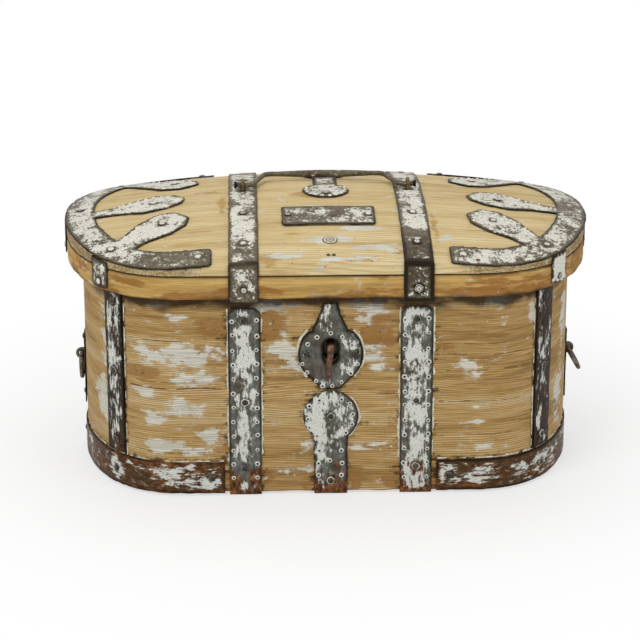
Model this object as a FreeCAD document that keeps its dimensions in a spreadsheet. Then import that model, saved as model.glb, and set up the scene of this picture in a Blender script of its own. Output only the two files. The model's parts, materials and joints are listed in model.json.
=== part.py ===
"""Oval bentwood strongbox with a domed plank lid and forged iron mounts.

Millimetres, +Z up, X to the viewer's right, the front faces -Y.
The origin lies on the floor below the middle of the box.
"""
import FreeCAD, Part
import math
import os
import Sketcher
from FreeCAD import Placement, Rotation, Vector

SIZES = [
    ("lid_length", 700, "lid boards, left to right"),
    ("lid_depth", 418, "lid boards, front to back"),
    ("lid_corner_radius", 140, "outline arc at the four corners"),
    ("lid_end_radius", 275, "outline arc at the two ends"),
    ("lid_overhang", 20, "lid outline beyond the box wall"),
    ("wall_thickness", 13, "bent wall"),
    ("seam_height", 310, "floor to the underside of the lid boards"),
    ("seam_gap", 0.6, "open joint between lid boards, rim and wall"),
    ("rim_height", 32, "bent rim of the lid"),
    ("rim_gap", 3, "air between rim and wall, for the swing of the lid"),
    ("rim_chamfer", 1.5, "worn upper edge of the rim"),
    ("board_edge", 20, "lid board at the middle of the front edge"),
    ("dome_rise_across", 32, "crown above the front edge"),
    ("dome_rise_along", 30, "crown above the ends"),
    ("board_crown", 24, "lid board at the crown, above its hollow"),
    ("lid_land", 60, "flat margin below the lid, outside the hollow"),
    ("plank_joint", 0.4, "open joint between two lid planks"),
    ("front_joint_y", -121, "joint behind the front plank"),
    ("back_joint_y", 62, "joint before the back plank"),
    ("bottom_thickness", 15, "bottom board"),
    ("board_clearance", 0.3, "bottom board inside the wall"),
    ("iron", 2.5, "thickness of the forged iron"),
    ("seat", 0.1, "iron off the wood below it"),
    ("strap_spacing", 224, "middle of the left strap to middle of the right one"),
    ("strap_width", 43, "straps on the box"),
    ("strap_drop", 48, "upper end of the straps on the box, below the lid boards"),
    ("strap_snip", 8, "snipped corners at the upper end of a strap"),
    ("foot_depth", 46, "strap folded under the base"),
    ("lid_strap_width", 40, "straps over the lid"),
    ("lip_drop", 4, "lid strap below the lower edge of the rim"),
    ("knuckle_radius", 4.5, "hinge eye"),
    ("knuckle_gap", 0.5, "between two hinge eyes"),
    ("hinge_tongue", 14, "width of the hinge eye of the lid"),
    ("hinge_pin_radius", 2, "hinge pin"),
    ("running_clearance", 0.06, "pin in its eye, radial"),
    ("pin_head_radius", 3.4, "head of a hinge pin"),
    ("pin_head", 2, "thickness of the head of a hinge pin"),
    ("base_band_height", 47.5, "upper edge of the base bands"),
    ("base_band_reach", 139, "front end of a base band, from the middle"),
    ("corner_band_width", 37, "vertical corner bands"),
    ("corner_band_setback", 2, "corner band from the start of its corner arc"),
    ("band_gap", 1, "between the end of one iron and the next"),
    ("end_band_width", 38, "C band on the end of the lid"),
    ("end_band_reach", 152, "end of a C band, from the middle"),
    ("end_band_tip", 8, "rounded corners at the ends of a C band"),
    ("clip_width", 33, "clip on the rim"),
    ("clip_lift", 4, "lower end of a clip above the lower edge of the rim"),
    ("clip_corner", 6, "rounded lower corners of a clip"),
    ("shank_drop", 102, "shank of the drop pin, below the lid boards"),
    ("lock_neck_rise", 59, "upper end of the lock plate, above the shank"),
    ("lock_neck_width", 22, "lock plate at its upper end"),
    ("lock_throat_width", 58, "lock plate where its neck has flared into the round"),
    ("lock_flare", 27, "upper end of the lock plate to the start of its flare"),
    ("lock_lobe_drop", 11, "middle of the round of the lock plate, below the shank"),
    ("lock_lobe_radius", 43, "round of the lock plate"),
    ("lock_foot_drop", 60, "lower end of the lock plate, below the shank"),
    ("lock_foot_width", 26, "lock plate at its lower end"),
    ("slot_width", 18, "slot in the lock plate"),
    ("slot_drop", 14, "between the centres of the two ends of the slot"),
    ("lobe_drop", 98, "centre of the round lobe of the lock strap, below the shank"),
    ("lobe_radius", 36.5, "round lobe of the lock strap"),
    ("lock_strap_width", 45, "strap below the round lobe"),
    ("shank_radius", 3.5, "shank of the drop pin"),
    ("drop_radius", 5, "drop pin at its upper end"),
    ("drop_tip_radius", 3.2, "drop pin at its lower end"),
    ("drop_length", 46, "drop pin below its shank"),
    ("drop_lean", 5.8, "drop pin leans to the viewer's left, degrees"),
    ("latch_plate_margin", 16.5, "latch plate below the middle of the shank"),
    ("bolt_rise", 64, "middle of the bolt, above the shank"),
    ("bolt_width", 16, "bolt, top to bottom"),
    ("bolt_thickness", 5, "bolt, front to back"),
    ("bolt_length", 130, "bolt"),
    ("bolt_tip", 60, "right end of the bolt at rest"),
    ("bolt_standoff", 2.5, "bolt off the latch plate"),
    ("latch_plate_setback", 4, "right end of the bolt beyond the latch plate"),
    ("arm_disc_radius", 5, "round end of the latch arm"),
    ("arm_width", 6, "latch arm"),
    ("bolt_clearance", 0.5, "bolt in its guides, arm in its slot"),
    ("guide_length", 12, "bolt guide along the bolt"),
    ("guide_inset", 14, "bolt guide from the end of the bolt"),
    ("guide_iron", 3, "metal round the bolt in a guide"),
    ("keeper_iron", 4, "keeper, across the bolt"),
    ("keeper_drop", 54, "keeper below the lid boards"),
    ("keeper_gap", 3, "bolt at rest to keeper"),
    ("handle_y", 16, "pivot of the top handle"),
    ("handle_reach", 56, "pivot to grip"),
    ("handle_radius", 3.5, "rod of the top handle"),
    ("handle_stub", 9, "rod of the top handle beyond its staple"),
    ("handle_neck", 12, "staple to the bend of the top handle"),
    ("knob_lip", 1, "knob of the top handle beyond the eye of its staple"),
    ("grip_radius", 5.2, "top handle at the middle of the grip"),
    ("grip_length", 150, "straight grip of the top handle"),
    ("staple_radius", 2.5, "wire of the staples"),
    ("staple_clearance", 0.5, "rod in its staple"),
    ("staple_bite", 9, "staple in the wood"),
    ("ring_height", 134, "pivot of the end rings"),
    ("ring_width", 40, "end ring, between rod middles"),
    ("ring_drop", 32, "pivot to the lowest rod middle of an end ring"),
    ("ring_radius", 3, "rod of the end rings"),
    ("ring_angle", 29, "right ring stands off the wall, degrees"),
    ("ring_plate_width", 50, "plate behind a ring"),
    ("ring_plate_height", 98, "plate behind a ring"),
    ("ring_plate_top", 168, "upper end of the plate behind a ring"),
    ("centre_lobe_radius", 32, "lobes of the plate below the handle"),
    ("centre_lobe_pitch", 106, "between the two lobes"),
    ("centre_neck_width", 33, "neck between the two lobes"),
    ("plain_plate_length", 124, "plain plate on the lid"),
    ("plain_plate_width", 58, "plain plate on the lid"),
    ("plain_plate_y", -94, "middle of the plain plate"),
    ("plain_plate_corner", 6, "rounded corners of the plain plate"),
    ("nail_head_radius", 5.2, "forged nail head"),
    ("nail_head", 2.2, "height of a nail head"),
    ("nail_shank", 3, "square shank below the head"),
    ("nail_length", 12, "shank below the head"),
    ("nail_clearance", 0.3, "shank in its punched hole, each side"),
    ("nail_inset", 9, "nail from the edge of a small iron"),
    ("strap_nail_inset", 18, "nail from the end of a strap or band"),
]

SIDES = {"left": -1, "right": 1}
FACES = {"front": -1, "back": 1}
CLEAR = 500
TOUCHING = 1e-4

doc = FreeCAD.newDocument("strongbox")
sheet = doc.addObject("Spreadsheet::Sheet", "sizes")
for row, (alias, value, note) in enumerate(SIZES, start=1):
    sheet.set(f"A{row}", note)
    sheet.set(f"B{row}", str(value))
    sheet.setAlias(f"B{row}", alias)
doc.recompute()


def size(alias):
    return float(sheet.get(alias))


# Places worked out from the sizes

HALF_DEPTH = size("lid_depth") / 2
STRAP_X = size("strap_spacing") / 2
IRON = size("iron")
WALL_FACE = -size("lid_overhang")
WALL_INSIDE = WALL_FACE - size("wall_thickness")
RIM_INSIDE = WALL_FACE + size("rim_gap")
RIM_BOTTOM = size("seam_height") - size("rim_height")
BOX_FRONT = HALF_DEPTH + WALL_FACE
BOX_INSIDE = HALF_DEPTH + WALL_INSIDE
IRON_FRONT = BOX_FRONT + IRON
LIP_BOTTOM = RIM_BOTTOM - size("lip_drop")
STRAP_TOP = size("seam_height") - size("strap_drop")
SHANK_Z = size("seam_height") - size("shank_drop")
NECK_TOP = SHANK_Z + size("lock_neck_rise")
LOCK_LOBE_Z = SHANK_Z - size("lock_lobe_drop")
LOBE_Z = SHANK_Z - size("lobe_drop")
BOLT_Z = SHANK_Z + size("bolt_rise")
HINGE_Y = HALF_DEPTH + IRON - size("knuckle_radius")
HINGE_Z = LIP_BOTTOM - 2 * size("knuckle_gap") - size("knuckle_radius")
CORNER_Y = HALF_DEPTH - size("lid_corner_radius")
END_X = size("lid_length") / 2 - size("lid_end_radius")
ARC_STEP = size("lid_end_radius") - size("lid_corner_radius")
CORNER_X = END_X + math.sqrt(ARC_STEP ** 2 - CORNER_Y ** 2)
TURN = math.atan2(CORNER_Y, CORNER_X - END_X)
BODY_CORNER_RADIUS = size("lid_corner_radius") + WALL_FACE
BAND_HALF = size("corner_band_width") / 2
CORNER_ANGLE = TURN + (BAND_HALF + size("corner_band_setback")) / BODY_CORNER_RADIUS
CROWN = size("seam_height") + size("board_edge") + size("dome_rise_across")


def arch_radius(half_chord, rise):
    return (half_chord ** 2 + rise ** 2) / (2 * rise)


ACROSS = arch_radius(HALF_DEPTH, size("dome_rise_across"))
ALONG = arch_radius(size("lid_length") / 2, size("dome_rise_along"))
DOME_AXIS = CROWN - ALONG


def dome_point(x, y, lift=0.0):
    """Point of the lid's top above x, y, moved out by lift."""
    across = ACROSS + lift
    sag = across - math.sqrt(across ** 2 - y ** 2)
    swing = ALONG + lift - sag
    return Vector(x, y, DOME_AXIS + math.sqrt(swing ** 2 - x ** 2))


def dome_normal(x, y):
    point = dome_point(x, y)
    spoke = Vector(point.x, 0, point.z - DOME_AXIS).normalize()
    middle = Vector(0, 0, DOME_AXIS) + spoke * (ALONG - ACROSS)
    return (point - middle).normalize()


# Sketch geometry

def line(start, end):
    return Part.LineSegment(Vector(*start, 0), Vector(*end, 0))


def polar(centre, radius, angle, flip=(1, 1)):
    return (flip[0] * (centre[0] + radius * math.cos(angle)),
            flip[1] * (centre[1] + radius * math.sin(angle)))


def arc(centre, radius, start, end, flip=(1, 1)):
    angles = (start, (start + end) / 2, end)
    return Part.Arc(*(Vector(*polar(centre, radius, angle, flip), 0) for angle in angles))


def polygon(points):
    return [line(*pair) for pair in zip(points, points[1:] + points[:1])]


def rectangle(x0, y0, x1, y1):
    return polygon([(x0, y0), (x1, y0), (x1, y1), (x0, y1)])


def rounded(corners, closed=True):
    """Edges through corners (x, y, radius), each rounded as far as its sides allow."""
    count = len(corners)
    stops = []
    for index, (x, y, radius) in enumerate(corners):
        inner = closed or 0 < index < count - 1
        here = Vector(x, y, 0)
        if not radius or not inner:
            stops.append((here, here, here))
            continue
        before = Vector(*corners[index - 1][:2], 0) - here
        after = Vector(*corners[(index + 1) % count][:2], 0) - here
        half = before.getAngle(after) / 2
        reach = min(radius / math.tan(half), 0.49 * before.Length, 0.49 * after.Length)
        radius = reach * math.tan(half)
        before.normalize()
        after.normalize()
        middle = here + (before + after).normalize() * (radius / math.sin(half) - radius)
        stops.append((here + before * reach, middle, here + after * reach))
    edges = []
    for index, (first, middle, last) in enumerate(stops):
        if first != last:
            edges.append(Part.Arc(first, middle, last))
        if closed or index < count - 1:
            edges.append(Part.LineSegment(last, stops[(index + 1) % count][0]))
    return edges


def circle(centre, radius):
    return [Part.Circle(Vector(*centre, 0), Vector(0, 0, 1), radius)]


def end_run(offset, side):
    """Outline round one end of the box, from the front straight to the back straight."""
    corner = size("lid_corner_radius") + offset
    end = size("lid_end_radius") + offset
    flip = (side, 1)
    return [
        arc((CORNER_X, -CORNER_Y), corner, -math.pi / 2, -TURN, flip),
        arc((END_X, 0), end, -TURN, TURN, flip),
        arc((CORNER_X, CORNER_Y), corner, TURN, math.pi / 2, flip),
    ]


def oval(offset):
    """The lid outline moved out by offset."""
    depth = HALF_DEPTH + offset
    front = line((-CORNER_X, -depth), (CORNER_X, -depth))
    back = line((CORNER_X, depth), (-CORNER_X, depth))
    return [front, *end_run(offset, 1), back, *reversed(end_run(offset, -1))]


def end_ring(inner, outer, reach, side, tip_radius=0.0):
    """Closed band round one end, its two arms cut off at reach with rounded corners."""
    inside = HALF_DEPTH + inner
    outside = HALF_DEPTH + outer
    bend = side * CORNER_X
    arm = {}
    for face in FACES.values():
        corners = [
            (bend, face * inside, 0), (side * reach, face * inside, tip_radius),
            (side * reach, face * outside, tip_radius), (bend, face * outside, 0),
        ]
        arm[face] = rounded(corners, closed=False)
    return [*arm[-1], *end_run(outer, side), *reversed(arm[1]), *reversed(end_run(inner, side))]


def sector(inner, outer, angle, width, flip):
    """Short band of one width on the outline, square to it at angle."""
    on_corner = angle > TURN
    centre = (CORNER_X, CORNER_Y) if on_corner else (END_X, 0)
    radius = size("lid_corner_radius" if on_corner else "lid_end_radius")
    half = width / 2 / (radius + inner)
    first, last = angle - half, angle + half
    return [
        arc(centre, radius + outer, first, last, flip),
        line(polar(centre, radius + outer, last, flip), polar(centre, radius + inner, last, flip)),
        arc(centre, radius + inner, last, first, flip),
        line(polar(centre, radius + inner, first, flip), polar(centre, radius + outer, first, flip)),
    ]


# Document objects

def new_body(label):
    body = doc.addObject("PartDesign::Body", label)
    body.Label = label
    return body


def add_sketch(body, role, loops, offset=None, bound=()):
    """Sketch on one of the body's own planes; bound ties edges of the first loop to the sheet."""
    sketch = body.newObject("Sketcher::SketchObject", f"{body.Name}_sketch")
    support = next(plane for plane in body.Origin.OriginFeatures if plane.Role == role)
    sketch.AttachmentSupport = [(support, "")]
    sketch.MapMode = "FlatFace"
    if offset:
        sketch.setExpression("AttachmentOffset.Base.z", offset)
    for edges in loops:
        first = sketch.GeometryCount
        sketch.addGeometry(edges, False)
        if len(edges) > 1:
            join_ends(sketch, list(range(first, first + len(edges))))
    for index, name, expression in bound:
        edge = sketch.Geometry[index]
        kind = "Distance" if isinstance(edge, Part.LineSegment) else "Radius"
        value = edge.length() if kind == "Distance" else edge.Radius
        place = sketch.addConstraint(Sketcher.Constraint(kind, index, value))
        sketch.renameConstraint(place, name)
        sketch.setExpression(f"Constraints.{name}", expression)
    return sketch


def join_ends(sketch, edges):
    for this, after in zip(edges, edges[1:] + edges[:1]):
        for ends in ((2, 1), (2, 2), (1, 1), (1, 2)):
            gap = sketch.getPoint(this, ends[0]).distanceToPoint(sketch.getPoint(after, ends[1]))
            if gap < TOUCHING:
                sketch.addConstraint(Sketcher.Constraint("Coincident", this, ends[0], after, ends[1]))
                break


def add_feature(body, kind, sketch, length=None, side="One side", reverse=False):
    feature = body.newObject(f"PartDesign::{kind}", f"{body.Name}_{kind.lower()}")
    feature.Profile = sketch
    if length:
        feature.setExpression("Length", length)
        feature.SideType = side
    feature.Reversed = reverse
    return feature


def soften(body, kind, edges, length, expression):
    """Round or bevel the edges of the body's last feature that lie on the given edges."""
    doc.recompute()
    tip = body.Tip
    middles = [edge.CenterOfMass for edge in edges(tip.Shape)]
    names = [f"Edge{index + 1}" for index, edge in enumerate(tip.Shape.Edges)
             if any(edge.CenterOfMass.isEqual(middle, TOUCHING) for middle in middles)]
    feature = body.newObject(f"PartDesign::{kind}", f"{body.Name}_{kind.lower()}")
    feature.Base = (tip, names)
    feature.setExpression(length, expression)


def trim_to_dome(body, low, high, inside_only=False):
    """Keep what lies between the dome moved out by low and by high."""
    reach = HALF_DEPTH + CLEAR / 10
    axis = line((-reach, DOME_AXIS), (reach, DOME_AXIS))
    for lift, edge_z in ((high, CROWN + CLEAR / 2), (low, RIM_BOTTOM - CLEAR / 5)):
        if lift is None:
            continue
        wide = HALF_DEPTH if inside_only and lift == low else reach
        ends = [dome_point(0, y, lift) for y in (-wide, 0, wide)]
        left, top, right = (Vector(point.y, point.z, 0) for point in ends)
        edges = [
            Part.Arc(left, top, right),
            line((wide, right.y), (wide, edge_z)),
            line((wide, edge_z), (-wide, edge_z)),
            line((-wide, edge_z), (-wide, left.y)),
        ]
        rise = "sizes.dome_rise_across"
        radius = f"((sizes.lid_depth / 2) ^ 2 + {rise} ^ 2) / (2 * {rise}) + {lift}"
        sketch = add_sketch(body, "YZ_Plane", [edges], bound=[(0, "dome_radius", radius)])
        sketch.addGeometry(axis, True)
        groove = add_feature(body, "Groove", sketch)
        groove.ReferenceAxis = (sketch, ["Axis0"])
        groove.Angle = 360


def lid_iron(label, loops, bound=()):
    """Iron laid on the dome of the lid, with the outlines given."""
    body = new_body(label)
    for edges in loops:
        sketch = add_sketch(body, "XY_Plane", [edges], "sizes.seam_height", bound)
        add_feature(body, "Pad", sketch, "sizes.dome_rise_across * 4")
    trim_to_dome(body, size("seat"), IRON)
    return body


def nail_places(points):
    return [Placement(point, Rotation(Vector(0, 0, 1), normal)) for point, normal in points]


def punched(label, body, places, bores=()):
    """The body with a square hole at each nail, and round holes where staples pass."""
    hole = size("nail_shank") + 2 * size("nail_clearance")
    tools = []
    for place in places:
        tool = Part.makeBox(hole, hole, 4 * IRON, Vector(-hole / 2, -hole / 2, -3 * IRON))
        tool.Placement = place
        tools.append(tool)
    drills = doc.addObject("Part::Feature", f"{label}_punch")
    drills.Shape = Part.makeCompound(tools + list(bores))
    cut = doc.addObject("Part::Cut", f"{label}_punched")
    cut.Base = body
    cut.Tool = drills
    body.Label = f"{label}_blank"
    cut.Label = label
    return cut


parts = {}
box_nails = []
lid_nails = []


# Wood of the box

wall = new_body("wall")
wall_height = "sizes.seam_height - sizes.seam_gap - sizes.iron"
add_feature(wall, "Pad", add_sketch(wall, "XY_Plane", [oval(WALL_FACE), oval(WALL_INSIDE)], "sizes.iron"),
            wall_height)


def slot_edges():
    """Upright slot with round ends, as drawn on the front."""
    half = size("slot_width") / 2
    top = SHANK_Z
    low = top - size("slot_drop")
    return [
        arc((0, top), half, 0, math.pi),
        line((-half, top), (-half, low)),
        arc((0, low), half, math.pi, 2 * math.pi),
        line((half, low), (half, top)),
    ]


slot_start = "sizes.lid_depth / 2"
slot = add_sketch(wall, "XZ_Plane", [slot_edges()], slot_start, [(0, "slot_radius", "sizes.slot_width / 2")])
add_feature(wall, "Pocket", slot, "sizes.lid_overhang + sizes.wall_thickness * 2")
parts["wall"] = wall

bottom_board = new_body("bottom_board")
board_outline = oval(WALL_INSIDE - size("board_clearance"))
add_feature(bottom_board, "Pad", add_sketch(bottom_board, "XY_Plane", [board_outline], "sizes.iron"),
            "sizes.bottom_thickness")
parts["bottom_board"] = bottom_board


# Straps and plates on the front and back of the box

front_face = "sizes.lid_depth / 2 - sizes.lid_overhang"


def add_foot(body, x, width, face):
    """Strap folded under the base, from the front or the back."""
    start = face * IRON_FRONT
    end = face * (IRON_FRONT - size("foot_depth"))
    foot = rectangle(x - width / 2, start, x + width / 2, end)
    sketch = add_sketch(body, "XY_Plane", [foot], bound=[(1, "foot_depth", "sizes.foot_depth")])
    add_feature(body, "Pad", sketch, "sizes.iron")
    fold = Vector(x, start, 0)

    def lower_fold(shape):
        return [edge for edge in shape.Edges if edge.CenterOfMass.isEqual(fold, TOUCHING)]

    soften(body, "Fillet", lower_fold, "Radius", "sizes.iron * 0.8")


def upright(label, x, face):
    """Flat strap on the front or back wall, with snipped upper corners and a foot."""
    body = new_body(label)
    half = size("strap_width") / 2
    snip = size("strap_snip")
    top = STRAP_TOP
    outline = polygon([
        (x - half, 0), (x + half, 0), (x + half, top - snip),
        (x + half - snip, top), (x - half + snip, top), (x - half, top - snip),
    ])
    offset = front_face if face < 0 else f"-({front_face})"
    sketch = add_sketch(body, "XZ_Plane", [outline], offset, [(0, "strap_width", "sizes.strap_width")])
    add_feature(body, "Pad", sketch, "sizes.iron", reverse=face > 0)
    add_foot(body, x, size("strap_width"), face)
    return body


def wall_nails(face, spots):
    outward = Vector(0, face, 0)
    return nail_places([(Vector(x, face * IRON_FRONT, z), outward) for x, z in spots])


strap_nail_heights = [
    size("base_band_height") - size("nail_inset"),
    STRAP_TOP / 2,
    STRAP_TOP - size("strap_nail_inset"),
]

for name, side in SIDES.items():
    x = side * STRAP_X
    label = f"front_strap_{name}"
    places = wall_nails(-1, [(x, z) for z in strap_nail_heights])
    parts[label] = punched(label, upright(label, x, -1), places)
    box_nails += places


def web_edges():
    """Strap from the back wall out to the hinge eye, seen from the end."""
    eye = Vector(HINGE_Y, HINGE_Z, 0)
    root = Vector(BOX_FRONT + IRON / 2, HINGE_Z - (HINGE_Y - BOX_FRONT) * 0.75, 0)
    along = (eye - root).normalize()
    half = Vector(-along.y, along.x, 0) * (IRON / 2)
    corners = [root + half, root - half, eye - half, eye + half]
    return polygon([(corner.x, corner.y) for corner in corners])


def add_eye(body, x, width, arm=None):
    """Hinge eye of one width about x, with the arm that carries it, and its bore."""
    for edges in (circle((HINGE_Y, HINGE_Z), size("knuckle_radius")), arm):
        if edges:
            add_feature(body, "Pad", add_sketch(body, "YZ_Plane", [edges], f"{x - width / 2}"), f"{width}")


def add_bore(body, x):
    bore = circle((HINGE_Y, HINGE_Z), size("hinge_pin_radius") + size("running_clearance"))
    radius = "sizes.hinge_pin_radius + sizes.running_clearance"
    sketch = add_sketch(body, "YZ_Plane", [bore], f"{x}", [(0, "bore_radius", radius)])
    add_feature(body, "Pocket", sketch, "sizes.strap_width * 2", "Symmetric")


EYE_GAP = size("hinge_tongue") / 2 + size("knuckle_gap")
OUTER_EYE = size("strap_width") / 2 - EYE_GAP

for name, side in SIDES.items():
    x = side * STRAP_X
    label = f"back_strap_{name}"
    body = upright(label, x, 1)
    for way in (-1, 1):
        add_eye(body, x + way * (EYE_GAP + OUTER_EYE / 2), OUTER_EYE, web_edges())
    add_bore(body, x)
    places = wall_nails(1, [(x, z) for z in strap_nail_heights])
    parts[label] = punched(label, body, places)
    box_nails += places

    pin = new_body(f"hinge_pin_{name}")
    rod = circle((HINGE_Y, HINGE_Z), size("hinge_pin_radius"))
    sketch = add_sketch(pin, "YZ_Plane", [rod], f"{x}", [(0, "pin_radius", "sizes.hinge_pin_radius")])
    add_feature(pin, "Pad", sketch, "sizes.strap_width + sizes.pin_head", "Symmetric")
    for way in (-1, 1):
        start = x + way * (size("strap_width") + size("knuckle_gap")) / 2
        head = add_sketch(pin, "YZ_Plane", [circle((HINGE_Y, HINGE_Z), size("pin_head_radius"))], f"{start}")
        add_feature(pin, "Pad", head, "sizes.pin_head", reverse=way < 0)
    parts[pin.Label] = pin


def lock_plate_outline():
    """Neck that flares into a round, which draws in again above the lock strap."""
    radius = size("lock_lobe_radius")
    middle = LOCK_LOBE_Z
    neck = size("lock_neck_width") / 2
    throat = size("lock_throat_width") / 2
    foot = size("lock_foot_width") / 2
    shoulder = math.acos(throat / radius)
    waist = math.radians(-46)
    top = NECK_TOP
    low = SHANK_Z - size("lock_foot_drop")
    flare = top - size("lock_flare")
    edges = [line((-neck, top), (neck, top))]
    for way in (1, -1):
        flip = (way, 1)
        widest = polar((0, middle), radius, shoulder, flip)
        start = (way * neck * 1.3, flare)
        inner = (start[0] * 0.7 + widest[0] * 0.3, start[1] * 0.3 + widest[1] * 0.7)
        run = [
            line((way * neck, top), start),
            Part.Arc(*(Vector(x, z, 0) for x, z in (start, inner, widest))),
            arc((0, middle), radius, shoulder, waist, flip),
            line(polar((0, middle), radius, waist, flip), (way * foot, low)),
        ]
        edges += run if way > 0 else [line((foot, low), (-foot, low)), *reversed(run)]
    return edges


lock_plate = new_body("lock_plate")
sketch = add_sketch(lock_plate, "XZ_Plane", [lock_plate_outline()], front_face,
                    [(3, "lobe_radius", "sizes.lock_lobe_radius")])
add_feature(lock_plate, "Pad", sketch, "sizes.iron")
slot = add_sketch(lock_plate, "XZ_Plane", [slot_edges()], slot_start,
                  [(0, "slot_radius", "sizes.slot_width / 2")])
add_feature(lock_plate, "Pocket", slot, "sizes.lid_overhang * 2")
ear = size("lock_lobe_radius") * 0.72
neck_nail = NECK_TOP * 0.65 + LOCK_LOBE_Z * 0.35
places = wall_nails(-1, [(0, neck_nail), (-ear, LOCK_LOBE_Z), (ear, LOCK_LOBE_Z)])
parts["lock_plate"] = punched("lock_plate", lock_plate, places)
box_nails += places


def lock_strap_outline():
    """Strap that ends in a round lobe."""
    half = size("lock_strap_width") / 2
    radius = size("lobe_radius")
    middle = LOBE_Z
    meet = math.asin(half / radius)
    low = middle - radius * math.cos(meet)
    return [
        line((-half, 0), (half, 0)),
        line((half, 0), (half, low)),
        arc((0, middle), radius, meet - math.pi / 2, 3 * math.pi / 2 - meet),
        line((-half, low), (-half, 0)),
    ]


lock_strap = new_body("lock_strap")
sketch = add_sketch(lock_strap, "XZ_Plane", [lock_strap_outline()], front_face,
                    [(0, "strap_width", "sizes.lock_strap_width"), (2, "lobe_radius", "sizes.lobe_radius")])
add_feature(lock_strap, "Pad", sketch, "sizes.iron")
add_foot(lock_strap, 0, size("lock_strap_width"), -1)
places = wall_nails(-1, [(0, LOBE_Z), (0, size("base_band_height") * 0.4)])
parts["lock_strap"] = punched("lock_strap", lock_strap, places)
box_nails += places


# Bands round the ends of the box

def outline_spot(offset, angle, flip, z):
    """Point and outward direction on the outline at a normal angle, mirrored by flip."""
    centre = (CORNER_X, CORNER_Y) if angle > TURN else (END_X, 0)
    radius = size("lid_corner_radius" if angle > TURN else "lid_end_radius") + offset
    x, y = polar(centre, radius, angle, flip)
    return Vector(x, y, z), Vector(flip[0] * math.cos(angle), flip[1] * math.sin(angle), 0)


BAND_FACE = WALL_FACE + IRON
band_seat = WALL_FACE + size("seat")
band_middle = size("base_band_height") * 0.52

for name, side in SIDES.items():
    label = f"base_band_{name}"
    body = new_body(label)
    edges = end_ring(band_seat, BAND_FACE, size("base_band_reach"), side)
    radius = "sizes.lid_corner_radius - sizes.lid_overhang + sizes.iron"
    sketch = add_sketch(body, "XY_Plane", [edges], "sizes.iron", [(3, "corner_radius", radius)])
    add_feature(body, "Pad", sketch, "sizes.base_band_height - sizes.iron")
    spots = [outline_spot(BAND_FACE, 0, (side, 1), band_middle)]
    for face in FACES.values():
        spots.append(outline_spot(BAND_FACE, CORNER_ANGLE, (side, face), band_middle))
        near_end = side * (size("base_band_reach") + size("strap_nail_inset"))
        spots.append((Vector(near_end, face * IRON_FRONT, band_middle), Vector(0, face, 0)))
    places = nail_places(spots)
    parts[label] = punched(label, body, places)
    box_nails += places

    for face_name, face in FACES.items():
        label = f"corner_band_{face_name}_{name}"
        body = new_body(label)
        edges = sector(band_seat, BAND_FACE, CORNER_ANGLE, size("corner_band_width"), (side, face))
        sketch = add_sketch(body, "XY_Plane", [edges], "sizes.base_band_height + sizes.band_gap",
                            [(0, "outer_radius", radius)])
        add_feature(body, "Pad", sketch, "sizes.seam_height - sizes.rim_height - sizes.band_gap * 4"
                    " - sizes.base_band_height")
        low = size("base_band_height") + size("strap_nail_inset")
        high = RIM_BOTTOM - size("strap_nail_inset")
        places = nail_places([outline_spot(BAND_FACE, CORNER_ANGLE, (side, face), z)
                              for z in (low, (low + high) / 2, high)])
        parts[label] = punched(label, body, places)
        box_nails += places


# Rings on the ends

BOX_END = size("lid_length") / 2 + WALL_FACE
RING_X = BOX_END + IRON + size("ring_radius") + size("staple_clearance")
STAPLE_BEND = size("ring_radius") + size("staple_clearance") + size("staple_radius")


def add_pipe(body, role, path, section_role, section, section_offset, bound):
    """Round rod along a flat path; the section lies on section_role at the start of the path."""
    spine = add_sketch(body, role, [])
    spine.addGeometry(path, False)
    ring = add_sketch(body, section_role, [section], section_offset, bound)
    pipe = body.newObject("PartDesign::AdditivePipe", f"{body.Name}_pipe")
    pipe.Profile = ring
    pipe.Spine = (spine, [f"Edge{index + 1}" for index in range(len(path))])
    return pipe


def staple_path(base, bend, reach):
    """Upright staple: leg, half circle, leg, drawn from its left leg."""
    return [
        line((-bend, base), (-bend, reach)),
        arc((0, reach), bend, math.pi, 0),
        line((bend, reach), (bend, base)),
    ]


def new_staple(label, bend, bite):
    """Staple that stands on +Z, its eye centre at the origin, its legs bite deep below."""
    body = new_body(label)
    wire = circle((-bend, 0), size("staple_radius"))
    add_pipe(body, "XZ_Plane", staple_path(-bite, bend, 0), "XY_Plane", wire, f"-({bite})",
             [(0, "wire_radius", "sizes.staple_radius")])
    return body


def staple_bores(bend, bite, place):
    """Round holes for the two legs of a staple."""
    radius = size("staple_radius") + size("nail_clearance")
    bores = [Part.makeCylinder(radius, bite, Vector(way * bend, 0, -bite)) for way in (-1, 1)]
    for bore in bores:
        bore.Placement = place
    return bores


ring_bite = RING_X - BOX_END + size("staple_bite")

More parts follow.
